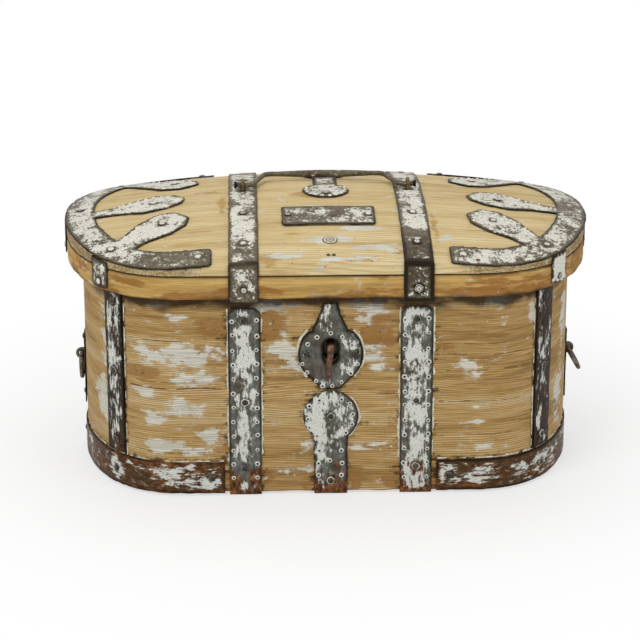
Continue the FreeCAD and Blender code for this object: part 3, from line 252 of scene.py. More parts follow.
def scraped_pine(name, turned, tones, line, line_mm, line_share, blotch, blotch_share, edge_dirt):
    """Pine scraped of its paint: fine growth lines along the grain, honey and straw streaks, brown blotches,
    dirt and painted shade along the irons, dirt along the joints, painted shade below the rim, in the slot
    and along the rim's lower edge, and a chalky grey-white film left in ragged patches. turned is the angle
    that lays the stack of growth lines over from upright, so that they show on the top and on the front. The
    fibres would be too fine to show, so they are drawn 1 mm wide."""
    finish, tree, shader, place = new_finish(name)
    place = add(tree, "Mapping", {"Vector": place, "Rotation": (math.radians(turned), 0, 0)})
    # Size along and across the grain in mm and detail of each pattern
    patterns = {
        "warp": (500, 130, 1.0), "drift": (320, 22, 4.0), "phase": (380, 9, 2.0), "fibre": (40, 1.0, 3.0),
        "smear": (27, 15, 8.0), "fleck": (15, 6, 4.0), "blotch": (90, 22, 6.0), "speck": (9, 4, 4.0),
        "stroke": (2.4, 12, 2.0), "dust": (9, 7, 5.0),
    }
    grain = {}
    for key, (along_mm, across_mm, detail) in patterns.items():
        scale = (per_metre(along_mm), per_metre(along_mm), per_metre(across_mm))
        drawn = add(tree, "Mapping", {"Vector": place, "Scale": scale})
        grain[key] = add(tree, "TexNoise", {"Vector": drawn, "Scale": 1.0, "Detail": detail,
                                            "Roughness": 0.64})
    marks = {key: add(tree, "Attribute", out="Fac", attribute_name=key)
             for key in ("inset", "film", "stain", "painted_shade", "side", "grime_and_shade")}

    height = add(tree, "SeparateXYZ", {0: place}, out="Z")
    ring = add(tree, "Math", {0: grain["warp"], 1: 0.06, 2: height}, operation="MULTIPLY_ADD")
    ring = add(tree, "CombineXYZ", {"Z": ring})
    shift = add(tree, "Math", {0: grain["phase"], 1: 7.0}, operation="MULTIPLY")
    lines = add(tree, "TexWave", {"Vector": ring, "Scale": 314 / line_mm, "Phase Offset": shift}, out="Fac",
                bands_direction="Z")
    lines = add(tree, "Math", {0: lines, 1: 2.5}, operation="POWER")
    strength = add(tree, "MapRange", {"Value": grain["drift"], "From Min": 0.38, "From Max": 0.62,
                                      "To Min": line_share * 0.2, "To Max": line_share})
    lines = add(tree, "Math", {0: lines, 1: strength}, operation="MULTIPLY")
    tone = add(tree, "Math", {0: grain["fibre"], 1: 0.4}, operation="MULTIPLY")
    tone = add(tree, "Math", {0: grain["drift"], 1: 0.6, 2: tone}, operation="MULTIPLY_ADD")
    spread = [(0.4 + 0.2 * step / (len(tones) - 1), code) for step, code in enumerate(tones)]
    wood = add(tree, "ValToRGB", {0: tone}, spread)
    wood = add(tree, "Mix", {0: lines, 6: wood, 7: linear(line)}, out=2, data_type="RGBA")

    # Mark and its weight, pattern, where the pattern sets in and is full, its share and its colour
    for mark, weight, pattern, low, high, share, code in (
            ("stain", 0.3, "blotch", 0.6 - blotch_share, 0.66 - blotch_share, 0.75, blotch),
            ("stain", 0.1, "speck", 0.66, 0.72, 0.7, "5A3F20"),
            ("side", 0.5, "stroke", 0.66, 1.12, 0.85, "5A3C1C"),
            # Dirt and painted shade along the irons
            ("grime_and_shade", 0.4, "dust", 0.66, 0.86, 0.85, "2E1F0E")):
        value = add(tree, "Math", {0: marks[mark], 1: weight, 2: grain[pattern]}, operation="MULTIPLY_ADD")
        share = add(tree, "MapRange", {"Value": value, "From Min": low, "From Max": high, "To Max": share})
        wood = add(tree, "Mix", {0: share, 6: wood, 7: linear(code)}, out=2, data_type="RGBA")

    smear = add(tree, "Math", {0: marks["film"], 1: 0.25, 2: grain["smear"]}, operation="MULTIPLY_ADD")
    film = add(tree, "ValToRGB", {0: smear}, [(0.57, "000000"), (0.63, "707070"), (0.685, "F4F4F4")])
    bare = add(tree, "Math", {0: lines, 1: -0.7, 2: 1.0}, operation="MULTIPLY_ADD")
    film = add(tree, "Math", {0: film, 1: bare}, operation="MULTIPLY")
    fleck = add(tree, "Math", {0: marks["film"], 1: 0.1, 2: grain["fleck"]}, operation="MULTIPLY_ADD")
    fleck = add(tree, "MapRange", {"Value": fleck, "From Min": 0.7, "From Max": 0.73})
    film = add(tree, "Math", {0: film, 1: fleck}, operation="MAXIMUM")
    chalk = add(tree, "ValToRGB", {0: grain["fibre"]}, [(0.38, "ABAA9B"), (0.58, "D8D9CF")])
    colour = add(tree, "Mix", {0: film, 6: wood, 7: chalk}, out=2, data_type="RGBA")
    edge = add(tree, "MapRange", {"Value": marks["inset"], "From Min": 0.0, "From Max": 0.2,
                                  "To Min": edge_dirt, "To Max": 0.0})
    # Dirt along the edges of the wood and painted shade from the painted_shade mark, laid on in one dark
    # brown
    painted_shade = add(tree, "Math", {0: grain["smear"], 1: 1.4, 2: marks["painted_shade"]}, operation="MULTIPLY_ADD")
    painted_shade = add(tree, "MapRange", {"Value": painted_shade, "From Min": 0.98, "From Max": 1.6, "To Max": 0.9})
    dirt_and_painted_shade = add(tree, "Math", {0: edge, 1: painted_shade}, operation="MAXIMUM")
    colour = add(tree, "Mix", {0: dirt_and_painted_shade, 6: colour, 7: linear("2A1A0A")}, out=2, data_type="RGBA")
    relief = add(tree, "Math", {0: lines, 1: -0.6, 2: grain["fibre"]}, operation="MULTIPLY_ADD")
    relief = add(tree, "Math", {0: film, 1: 0.5, 2: relief}, operation="MULTIPLY_ADD")
    bump = add(tree, "Bump", {"Height": relief, "Strength": 0.6, "Distance": 0.6 * MM})
    fill(tree, shader, {"Base Color": colour, "Normal": bump, "Roughness": 0.75, "Specular IOR Level": 0.2})
    return finish


def mottled(name, stops, size_mm, metallic, rough):
    """One metal or crust all over, mottled from dark to light and finely pitted. The pits would be too fine
    to show, so they are drawn 1.5 mm wide."""
    finish, tree, shader, place = new_finish(name)
    cloud = add(tree, "TexNoise", {"Vector": place, "Scale": per_metre(size_mm), "Detail": 6.0,
                                   "Roughness": 0.68})
    pits = add(tree, "TexNoise", {"Vector": place, "Scale": per_metre(1.5), "Detail": 3.0})
    colour = add(tree, "ValToRGB", {0: cloud}, stops)
    relief = add(tree, "Math", {0: pits, 1: 0.6, 2: cloud}, operation="MULTIPLY_ADD")
    bump = add(tree, "Bump", {"Height": relief, "Strength": 0.5, "Distance": 0.4 * MM})
    fill(tree, shader, {"Base Color": colour, "Normal": bump, "Metallic": metallic, "Roughness": rough})
    return finish


def pitted_paint(name, paint, pit):
    """Thick paint built up in a ring round a punched hole, dark where the attribute says it is bare. Its
    grit would be too fine to show, so it is drawn 2.2 mm wide."""
    finish, tree, shader, place = new_finish(name)
    bare = add(tree, "Attribute", out="Fac", attribute_name="bare")
    grit = add(tree, "TexNoise", {"Vector": place, "Scale": per_metre(2.2), "Detail": 3.0})
    chalk = add(tree, "ValToRGB", {0: grit}, [(0.32, paint[0]), (0.56, paint[1])])
    worn = add(tree, "Math", {0: grit, 1: 0.5, 2: bare}, operation="MULTIPLY_ADD")
    hole = add(tree, "MapRange", {"Value": worn, "From Min": 0.55, "From Max": 0.75})
    colour = add(tree, "Mix", {0: hole, 6: chalk, 7: linear(pit)}, out=2, data_type="RGBA")
    fill(tree, shader, {"Base Color": colour, "Roughness": 0.8})
    return finish


# White oil paint gone chalky, with a grey cast on the box and a warmer one on the lid
CHALK = ("A9AAA0", "D6D7CF")
CREAM = ("B3B0A1", "E4E2D6")

# Bent pine, handled for long: honey brown, with close dark growth lines, and dirt and painted shade along the
# irons
wall_pine = scraped_pine(
    "scraped_pine_wall", turned=0, tones=("836538", "A4844F", "BB9C66", "CAB285"), line="5F3F1C", line_mm=2.6,
    line_share=0.8, blotch="8C6433", blotch_share=0.0, edge_dirt=0.7)
# Sawn pine boards, bleached by light: pale straw, with broad faint growth lines
lid_pine = scraped_pine(
    "scraped_pine_lid", turned=55, tones=("AF9665", "C7AF7C", "D2BD8E", "D9C89C"), line="97763F", line_mm=4.2,
    line_share=0.45, blotch="AB8648", blotch_share=-0.07, edge_dirt=0.15)
# Bent pine rim, under old varnish: even orange brown, with brown blotches
rim_pine = scraped_pine(
    "scraped_pine_rim", turned=0, tones=("9C7A44", "B3904F", "C1A05F", "CAAC70"), line="8F6A36", line_mm=7.0,
    line_share=0.35, blotch="875624", blotch_share=0.06, edge_dirt=0.6)
# Forged iron in the sun: warm grey, with bare brown margins round creamy paint
lid_iron = worn_iron("painted_forged_iron_lid", ("241D12", "544B3A", "756D5C"), CREAM, edge_rub=0.19)
# Forged iron rubbed by hands: cool grey, with paint scratched off in lines down the straps
strap_iron = worn_iron("painted_forged_iron_straps", ("1C1910", "4B4C45", "71736C"), CHALK,
                       islands=(1, 1, 0.6), scratches=(1, 1, 0.12))
# Forged iron with its black scale: nearly black between tall white islands
corner_iron = worn_iron("painted_forged_iron_corners", ("0A0602", "1D130A", "3C2F22"), CHALK,
                        islands=(1, 1, 0.45), scratches=(1, 1, 0.1))
# Forged iron that stood in the wet: brown rust blooms between white islands drawn out along the band
base_iron = worn_iron("rusted_forged_iron_base", ("1C1006", "3C2814", "5E452C"), CHALK,
                      islands=(0.5, 0.5, 1.2), scratches=(0.15, 0.15, 1), bloom_share=0.06)
# Forged iron under cover: dark, dry and dull
latch_iron = mottled("dark_forged_iron_latch", [(0.36, "24201A"), (0.64, "565047")],
                     size_mm=12, metallic=0.5, rough=0.5)
# Iron rubbed by fingers over old rust: red brown with a low shine
pin_rust = mottled("rubbed_rusty_iron", [(0.34, "26140B"), (0.5, "563623"), (0.68, "94704F")],
                   size_mm=8, metallic=0.3, rough=0.42)
# Iron rod with rust in its hollows: dark brown with lighter worn patches
rod_rust = mottled("dark_rusty_iron", [(0.34, "211A12"), (0.5, "4E4436"), (0.68, "9C9484")],
                   size_mm=9, metallic=0.4, rough=0.5)
# Nail heads hammered bare: nearly black, with brown high spots
nail_rust = mottled("nail_iron", [(0.36, "120C06"), (0.52, "2E2418"), (0.68, "5E503D")],
                    size_mm=5, metallic=0.3, rough=0.45)
# Brass left to go brown: a dull yellow shine in dark tarnish
old_brass = mottled("old_brass", [(0.36, "33280F"), (0.6, "7C6438")], size_mm=4, metallic=0.6, rough=0.45)
# Painted shade in the seam between lid and rim: a dull black-brown line
seam_shade = mottled("painted_seam_shade", [(0.36, "170E06"), (0.64, "342413")], size_mm=6, metallic=0.0, rough=0.9)
# Hard late wood: a brown line that breaks off along the grain
late_wood = mottled("dark_growth_line", [(0.36, "4F3315"), (0.64, "785026")],
                    size_mm=8, metallic=0.0, rough=0.85)
# Paint left in the corner of wood and iron: a chalky cream line
chalk_line = mottled("chalk_paint", [(0.34, "B2AA90"), (0.6, "DCD8C6")], size_mm=5, metallic=0.0, rough=0.85)
# Thick paint pushed up by a punch or a nail: a white or cream ring with a dark middle
dotted_chalk = pitted_paint("punched_paint_white", CHALK, "17120B")
dotted_cream = pitted_paint("punched_paint_cream", CREAM, "2A2117")
# Wood crushed and painted under a fitting that is gone: a pale round with dark edges
scar = pitted_paint("scarred_wood", ("A29A84", "CBC4AE"), "40351F")

FINISH_OF_SLOT = {
    "wall_wood": wall_pine, "lid_wood": lid_pine, "rim_wood": rim_pine, "lid_iron": lid_iron,
    "strap_iron": strap_iron, "corner_iron": corner_iron, "rusty_iron": base_iron, "latch_iron": latch_iron,
    "nail_iron": nail_rust,
}
for node_name, node in nodes.items():
    node.data.materials.clear()
    node.data.materials.append(FINISH_OF_SLOT[SLOT_OF[node_name]])


# Where paint, stain and rust are left, and where shade is painted

# Chalky film on the front of the wall: middle x, z and half sizes, in mm
WALL_FILM = [
    (-194, 197, 62, 20), (-178, 164, 34, 19), (-195, 123, 34, 15), (-157, 86, 27, 19), (-243, 141, 16, 10),
    (-224, 265, 16, 5), (-203, 248, 26, 6), (-58, 197, 25, 36), (-80, 266, 22, 13), (-44, 252, 17, 16),
    (36, 269, 15, 10), (55, 255, 30, 20), (58, 190, 18, 25), (-42, 34, 28, 9), (-30, 70, 12, 12),
    (42, 66, 18, 10), (180, 178, 34, 6), (182, 162, 24, 5), (193, 98, 12, 5), (191, 120, 9, 4),
    (211, 268, 22, 13), (240, 276, 24, 6), (265, 243, 8, 20), (-170, 40, 36, 7), (205, 62, 20, 6),
    (-288, 190, 14, 60), (-300, 120, 12, 40), (308, 110, 10, 50), (318, 210, 10, 40), (-215, 70, 34, 12),
    (-230, 105, 20, 9), (-180, 60, 26, 10),
]
# Stain on the front of the wall, and painted shade round and in the slot of the lock, in the same way
WALL_STAIN = [
    (-250, 172, 36, 9), (-150, 236, 40, 16), (-75, 235, 26, 30), (60, 225, 30, 30), (0, 272, 60, 9),
    (150, 205, 30, 6), (-84, 24, 14, 24), (-142, 20, 12, 24), (84, 24, 16, 26), (-30, 24, 12, 22),
    (31, 24, 12, 22), (136, 24, 8, 30), (-60, 284, 60, 12), (60, 284, 60, 12),
]
WALL_SLOT_SHADE = [(0, 201, 17, 26)]
# Film and stain on the lid: middle x, y and half sizes, in mm
LID_FILM = [
    (0, -160, 34, 14), (48, -130, 40, 9), (60, -178, 50, 9), (150, -150, 14, 10), (-60, -196, 30, 6),
    (20, -204, 60, 6),
]
LID_STAIN = [
    (-140, -40, 8, 50), (138, -120, 7, 60), (85, -190, 10, 24), (-85, -200, 30, 10), (40, -204, 60, 8),
    (-30, -10, 60, 16), (165, -196, 20, 9), (-160, 20, 30, 10),
]
# The spots lie on the wall and on the lid in front of these y
SPOTTED_WALL = -0.3 * HALF_DEPTH
SPOTTED_LID = 0.3 * HALF_DEPTH
# Painted shade below the rim, in mm: height where it sets in, how far up it is full, how uneven that is, and
# how far above the lower edge of the rim it ends
SHADE_FROM, SHADE_RISE, SHADE_RAGGED, SHADE_END = 252, 15, 9, 5


def nearness(spots, u, v):
    """1 in the middle of a spot, 0 outside all of them."""
    best = 0.0
    for x, y, half_x, half_y in spots:
        far = math.hypot((u / MM - x) / half_x, (v / MM - y) / half_y)
        best = max(best, 1.25 - far)
    return min(1.0, best)


def clamped(value):
    """The value, kept from 0 to 1."""
    return min(1.0, max(0.0, value))


def ragged(point, size_mm):
    """Smooth noise from about -1 to 1."""
    return noise.noise(point * per_metre(size_mm)) + 0.5 * noise.noise(point * per_metre(size_mm / 2.7))


def wall_marks(point, normal):
    """Film and stain on the wall, clean inside, and painted shade below the rim and in the slot of the lock.
    """
    front = point.y < SPOTTED_WALL
    # Painted shade round and in the slot of the lock, on the front and on the inside
    hole = nearness(WALL_SLOT_SHADE, point.x, point.z) if front else 0.0
    if normal.x * point.x + normal.y * point.y < 0:
        return {"film": -0.4, "stain": 0.0, "painted_shade": hole, "side": 0.0}
    forward = clamped((-point.y / HALF_DEPTH - 0.2) / 0.6)
    # Painted shade below the rim: darkest at the front, faded out just above the rim's lower edge
    shade_under_rim = clamped((point.z / MM - SHADE_FROM + SHADE_RAGGED * ragged(point, 30)) / SHADE_RISE)
    shade_under_rim *= 1 - 0.85 * clamped((point.z - RIM_BOTTOM) / (SHADE_END * MM))
    shade_under_rim *= clamped(0.4 + 0.6 * forward + 0.35 * ragged(point, 44))
    return {
        "film": nearness(WALL_FILM, point.x, point.z) if front else clamped(ragged(point, 120)),
        "stain": nearness(WALL_STAIN, point.x, point.z) if front else clamped(ragged(point, 90) - 0.2),
        "painted_shade": max(shade_under_rim, hole),
        "side": 0.0,
    }


def lid_marks(point, normal):
    """Film and stain on the top of the boards, and end grain at their ends."""
    top = normal.z > 0.3
    upright = clamped(1 - abs(normal.z) * 1.6)
    film = nearness(LID_FILM, point.x, point.y) if point.y < SPOTTED_LID else clamped(ragged(point, 110))
    return {
        "film": film if top else 0.0,
        "stain": nearness(LID_STAIN, point.x, point.y) if top else 0.15,
        "painted_shade": 0.0,
        "side": upright * clamped((abs(point.x) / MM - 150) / 40),
    }


def rim_marks(point, normal):
    """Darker to the right, and blotched and darkened with painted shade along the lower edge of the rim, most
    of it outside.
    """
    low = clamped(1 - (point.z - RIM_BOTTOM + 4 * MM * ragged(point, 40)) / (12 * MM))
    right = clamped((point.x / MM - 60) / 160)
    outside = normal.x * point.x + normal.y * point.y > 0.3 * math.hypot(point.x, point.y)
    # Painted shade along the lower edge, stronger outside than inside
    painted_shade = 0.8 if outside else 0.3
    return {"film": 0.0, "stain": 0.16 * right + 0.4 * low, "painted_shade": painted_shade * low * low, "side": 0.0}


def middle(distance, half):
    """1 on the middle line of a strap, 0 at its edge."""
    return max(0.0, 1 - abs(distance) / half)


def rust_at_foot(point, height_mm=40):
    """1 at the floor, 0 above about height_mm, with an uneven edge."""
    return clamped(1.2 - point.z / MM / height_mm + 0.7 * ragged(point, 26))


def in_leaf(point):
    """Inside the C of an end band."""
    corner = Vector((abs(point.x) - CORNER.x, abs(point.y) - CORNER.y))
    arm = HALF_DEPTH - abs(point.y)
    if min(corner) > 0 and math.atan2(corner.y, corner.x) > TURN:
        arm = CORNER_RADIUS - corner.length
    elif abs(point.x) > CORNER.x:
        arm = END_RADIUS - math.hypot(abs(point.x) - END_X, point.y)
    return arm > END_BAND_WIDTH


def lock_plate_coat(point):
    """Next to bare, with paint left to the right of the slot and at the bottom."""
    beside_slot = point.x > 12 * MM and abs(point.z - LOCK_Z - 3 * MM) < 30 * MM
    bottom = point.z < LOCK_Z - 34 * MM
    return -0.1 + 0.1 * beside_slot + 0.08 * bottom


def lock_strap_coat(point):
    """Painted on the round and down the left of the leg."""
    if point.z > LOBE_Z - 32 * MM:
        return 0.025
    return -0.03 if point.x > 4 * MM else 0.02


# On the right lid strap, y where its front end begins to be bare and dark and where it is darkest
DARK_FROM = -130 * MM
DARKEST_FROM = -168 * MM


def right_lid_strap_coat(point):
    """Next to bare at the front end, and elsewhere thickest along the middle."""
    coat = -0.085 if point.y < DARK_FROM else 0.005
    return coat + 0.04 * ragged(point, 60) + 0.05 * middle(point.x - STRAP_X, STRAP_HALF)


def right_lid_strap_tarnish(point):
    """Darkest where the strap turns down at the front."""
    if point.y < DARKEST_FROM:
        return 1.1
    return 0.5 if point.y < DARK_FROM else 0.1


def left_end_band_coat(point):
    """Full on the leaves, and rubbed off towards the front end of the C."""
    if in_leaf(point):
        return 0.05
    rubbed = clamped((point.x + 280 * MM) / (60 * MM)) if point.y < -150 * MM else 0.0
    return 0.02 + 0.05 * ragged(point, 60) - 0.07 * rubbed


def base_band_coat(point):
    """Uneven, and thicker round the nails."""
    by_nail = clamped(1.6 - box_nail_tree.find(point)[2] / (12 * MM))
    return -0.022 + 0.08 * ragged(point, 50) + 0.08 * by_nail


# How far the paint covers an iron, by name: 0 half of it, 0.1 nearly all, -0.1 next to nothing
COATS = [
    ("front_strap_left", lambda point: -0.085 + 0.12 * middle(point.x + STRAP_X, STRAP_HALF)),
    ("front_strap_right", lambda point: -0.015 + 0.05 * middle(point.x - STRAP_X, STRAP_HALF)),
    ("lock_plate", lock_plate_coat),
    ("lock_strap", lock_strap_coat),
    ("back_strap", lambda point: -0.02),
    ("lid_strap_left", lambda point: 0.01 + 0.06 * ragged(point, 70)),
    ("lid_strap_right", right_lid_strap_coat),
    ("lid_end_band_left", left_end_band_coat),
    ("lid_end_band", lambda point: 0.035 if in_leaf(point) else 0.015 + 0.05 * ragged(point, 60)),
    ("centre_plate", lambda point: 0.02),
    ("plain_plate", lambda point: -0.015 + 0.05 * ragged(point, 40)),
    ("rim_clip_front_right", lambda point: 0.13),
    ("corner_band_front_left", lambda point: -0.02 + 0.06 * ragged(point, 60)),
    ("corner_band", lambda point: -0.015 + 0.06 * ragged(point, 60)),
    ("base_band", base_band_coat),
    ("ring_plate", lambda point: -0.05),
    ("top_handle", lambda point: -0.08),
]
# Where an iron has gone dark, by name
TARNISH = [
    ("lid_strap_right", right_lid_strap_tarnish),
    ("top_handle", lambda point: 0.6),
    ("lock_plate", lambda point: 0.3),
    ("base_band", lambda point: 0.3),
]
# How far an iron has rusted, by name
RUST = [
    ("front_strap", rust_at_foot),
    ("lock_strap", rust_at_foot),
    ("back_strap", rust_at_foot),
    ("base_band", lambda point: 0.35 + 0.5 * ragged(point, 50)),
    ("corner_band", lambda point: 0.5 * rust_at_foot(point - UP * BASE_BAND_TOP, 30)),
]


def rule_for(node_name, rules, usual):
    """The first of the rules whose name begins the node's name, or else the usual value everywhere."""
    return next((rule for prefix, rule in rules if node_name.startswith(prefix)), lambda point: usual)


def iron_marks(node_name):
    """Paint, rust and tarnish on an iron."""
    coat = rule_for(node_name, COATS, 0.0)
    rust = rule_for(node_name, RUST, 0.0)
    tarnish = rule_for(node_name, TARNISH, 0.1)

    def marks(point, normal):
        dark = clamped(tarnish(point) + 0.3 * ragged(point, 45))
        return {"paint": coat(point), "rust": rust(point), "tarnish": dark}
    return marks


# Pieces

def new_piece(name, mesh, finish, body):
    """A piece of the scene that rides on a body."""
    piece = bpy.data.objects.new(name, mesh)
    scene.collection.objects.link(piece)
    mesh.materials.clear()
    mesh.materials.append(finish)
    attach(piece, body)
    return piece


def as_mesh(shape, name):
    """The mesh of a shape that is then done with."""
    mesh = bpy.data.meshes.new(name)
    shape.to_mesh(mesh)
    shape.free()
    return mesh


def evaluated(mesh, kind, **settings):
    """The mesh after one modifier."""
    holder = bpy.data.objects.new("holder", mesh)
    scene.collection.objects.link(holder)
    modifier = holder.modifiers.new(kind, kind)
    for name, value in settings.items():
        setattr(modifier, name, value)
    depsgraph = bpy.context.evaluated_depsgraph_get()
    result = bpy.data.meshes.new_from_object(holder.evaluated_get(depsgraph))
    bpy.data.objects.remove(holder)
    return result


def welded(node_name):
    """The shape of a CAD node with its corners joined."""
    shell = bmesh.new()
    shell.from_mesh(nodes[node_name].data)
    bmesh.ops.remove_doubles(shell, verts=shell.verts, dist=WELD)
    return shell


def crisp_points(shell):
    """Points along the sharp edges of a shape."""
    sharp = 0.6
    spacing = 1.5 * MM
    points = []
    for edge in shell.edges:
        if len(edge.link_faces) == 2 and edge.calc_face_angle(0.0) > sharp:
            first, last = (vert.co.copy() for vert in edge.verts)
            count = max(2, math.ceil((last - first).length / spacing))
            points += [first.lerp(last, step / count) for step in range(count + 1)]
    return points


def search_tree(points):
    """A tree that finds the nearest of the points, or one far below the floor where there are none."""
    tree = kdtree.KDTree(len(points) + 1)
    for index, point in enumerate([*points, Vector((0, 0, -1))]):
        tree.insert(point, index)
    tree.balance()
    return tree


def worn_copy(node_name, prefix, finish, skin, wear, marks):
    """A skin over a CAD node, moved in by wear(point, distance to the nearest sharp edge), with the marks
    that its finish reads."""
    body = nodes[node_name]["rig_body"]
    shell = welded(node_name)
    edges = search_tree(crisp_points(shell))
    mesh = as_mesh(shell, f"{prefix}_{node_name}")
    mesh = evaluated(mesh, "REMESH", mode="VOXEL", voxel_size=skin["voxel"], use_smooth_shade=True)
    moved = []
    for vert in mesh.vertices:
        moved.extend(vert.co - vert.normal * wear(vert.co, edges.find(vert.co)[2]))
    mesh.vertices.foreach_set("co", moved)
    mesh = evaluated(mesh, "DECIMATE", ratio=skin["keep"])
    mesh.shade_smooth()
    values = {"inset": []}
    for vert in mesh.vertices:
        values["inset"].append(min(1.0, edges.find(vert.co)[2] / skin["inset"]))
        for key, value in marks(vert.co, vert.normal).items():
            values.setdefault(key, []).append(value)
        # Dirt and painted shade near the irons
        if skin["grime_and_shade_reach"]:
            near = clamped(1 - iron_trees[body].find(vert.co)[2] / skin["grime_and_shade_reach"])
            values.setdefault("grime_and_shade", []).append(near)
    for key, row in values.items():
        mesh.attributes.new(key, "FLOAT", "POINT").data.foreach_set("value", row)
    piece = new_piece(f"{prefix}_{node_name}", mesh, finish, body)
    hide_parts(node_name)


def hammered(depth, nibble=0.0):
    """Shallow hammer marks and an uneven outline, none at the hinge."""
    hinge_reach = 8 * MM
    edge_reach = 3 * MM

    def wear(point, edge):
        off_hinge = math.hypot(point.y - HINGE.y, point.z - HINGE.z)
        share = clamped(off_hinge / hinge_reach - 1)
        dent = 0.5 + 0.5 * noise.noise(point * per_metre(16)) + 0.4 * noise.noise(point * per_metre(6))
        bite = max(0.0, ragged(point, 24)) * max(0.0, 1 - edge / edge_reach)
        return share * (depth * max(0.0, dent) + nibble * bite)
    return wear


def weathered(depth, chips):
    """Wood worn hollow along its grain, with rounded and chipped edges."""
    stretch = Vector((per_metre(140), per_metre(14), per_metre(14)))
    edge_reach = 6 * MM

    def wear(point, edge):
        grain = 0.5 + 0.5 * noise.noise(point * stretch)
        near = max(0.0, 1 - edge / edge_reach)
        chip = max(0.0, noise.noise(point * per_metre(28)) + 0.35)
        return depth * max(0.0, grain) + chips * near * near * chip
    return wear


# Of each kind of skin: fineness, share of its faces that is kept, how far in from the edges rubbing reaches,
# and how far from the irons dirt and painted shade reach
PLATE_SKIN = {"voxel": 1.5 * MM, "keep": 0.5, "inset": 7 * MM, "grime_and_shade_reach": 0.0}
ROD_SKIN = {"voxel": 0.8 * MM, "keep": 0.5, "inset": 3 * MM, "grime_and_shade_reach": 0.0}
PLANK_SKIN = {"voxel": 2.2 * MM, "keep": 0.45, "inset": 9 * MM, "grime_and_shade_reach": 0.0}
WALL_SKIN = {"voxel": 3.2 * MM, "keep": 0.6, "inset": 9 * MM, "grime_and_shade_reach": 7 * MM}
# Skin, marks and depth of the chips of each wood
WOODS = {
    "wall_wood": (WALL_SKIN, wall_marks, 2.4 * MM),
    "lid_wood": (PLANK_SKIN, lid_marks, 0.8 * MM),
    "rim_wood": (PLANK_SKIN, rim_marks, 2.4 * MM),
}
WOOD_HOLLOWS = 0.5 * MM
ROD_DENTS = 0.2 * MM
PLATE_DENTS = 0.45 * MM
PLATE_NIBBLES = 1.5 * MM
RODS = {
    "top_handle": lid_iron, "ring_left": rod_rust, "ring_right": rod_rust, "ring_staple": rod_rust,
    "handle_staple": old_brass, "hinge_pin": rod_rust, "drop_pin": pin_rust,
}


def nail_places(node_name):
    """Middle of the head, on the face of the iron, and outward direction of each nail in a CAD node."""
    shell = welded(node_name)
    places = []
    left = set(shell.verts)
    while left:
        reached = {left.pop()}
        front = list(reached)
        while front:
            for edge in front.pop().link_edges:
                fresh = set(edge.verts) - reached
                reached |= fresh
                front += fresh
        left -= reached
        faces = {face for vert in reached for face in vert.link_faces}
        flats = []
        for face in faces:
            flat = [other for other in faces if other.normal.dot(face.normal) > 0.999]
            flats.append((sum(other.calc_area() for other in flat), flat))
        foot = max(flats, key=lambda pair: pair[0])[1]
        rim = {vert for face in foot for vert in face.verts}
        centre = sum((vert.co for vert in rim), Vector()) / len(rim)
        out = -foot[0].normal
        places.append((centre + out * NAIL_DEPTH, out))
    shell.free()
    return sorted(places, key=lambda place: tuple(round(value, 5) for value in place[0]))


box_nails = nail_places("box_nails")
lid_nails = nail_places("lid_nails")
box_nail_tree = search_tree([centre for centre, out in box_nails])
iron_points = {}
for node_name in sorted(nodes):
    if SLOT_OF[node_name] not in WOODS and SLOT_OF[node_name] != "nail_iron":
        shell = welded(node_name)
        iron_points.setdefault(nodes[node_name]["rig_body"], []).extend(crisp_points(shell))
        shell.free()
iron_trees = {body: search_tree(points) for body, points in iron_points.items()}

for node_name in sorted(nodes):
    slot = SLOT_OF[node_name]
    rod = next((finish for prefix, finish in RODS.items() if node_name.startswith(prefix)), None)
    if slot in WOODS:
        skin, marks, chips = WOODS[slot]
        worn_copy(node_name, "worn", FINISH_OF_SLOT[slot], skin, weathered(WOOD_HOLLOWS, chips), marks)
    elif rod:
        worn_copy(node_name, "forged", rod, ROD_SKIN, hammered(ROD_DENTS), iron_marks(node_name))
    elif slot != "nail_iron":
        wear = hammered(PLATE_DENTS, PLATE_NIBBLES)
        worn_copy(node_name, "forged", FINISH_OF_SLOT[slot], PLATE_SKIN, wear, iron_marks(node_name))


# Nails, punched dots and lumps of paint

def spun(profile, segments):
    """Mesh of a small round shape: profile (radius, height, bare) spun about Z."""
    shape = bmesh.new()
    bare = shape.verts.layers.float.new("bare")
    line = []
    for radius, height, value in profile:
        vert = shape.verts.new((radius * MM, 0, height * MM))
        vert[bare] = value
        line.append(vert)
    edges = [shape.edges.new(pair) for pair in zip(line, line[1:])]
    bmesh.ops.spin(shape, geom=line + edges, axis=UP, cent=Vector(), angle=math.tau, steps=segments,
                   use_merge=True)
    bmesh.ops.remove_doubles(shape, verts=shape.verts, dist=WELD)
    return as_mesh(shape, "stud")


def studs(name, places, profile, finish, body, segments=10, wobble=0.05, spread=0.1):
    """Small round shapes spun from a profile, one on each place. They differ in size by spread, in
    roundness by wobble and in how bare they are."""
    most_worn = 0.25
    stud = spun(profile, segments)
    shape = bmesh.new()
    for centre, out in places:
        known = len(shape.verts)
        shape.from_mesh(stud)
        shape.verts.ensure_lookup_table()
        bare = shape.verts.layers.float["bare"]
        turn = out.to_track_quat("Z", "Y") @ Quaternion(UP, random.uniform(0, math.tau))
        grow = 1 - random.uniform(0, spread)
        worn = random.uniform(0, most_worn)
        uneven = [1 - random.uniform(0, wobble) for segment in range(segments)]
        for vert in shape.verts[known:]:
            segment = round(math.atan2(vert.co.y, vert.co.x) / math.tau * segments)
            reach = grow * uneven[segment % segments]
            vert.co = centre + turn @ Vector((vert.co.x * reach, vert.co.y * reach, vert.co.z))
            vert[bare] += worn
    mesh = as_mesh(shape, name)
    mesh.shade_smooth()
    return new_piece(name, mesh, finish, body)


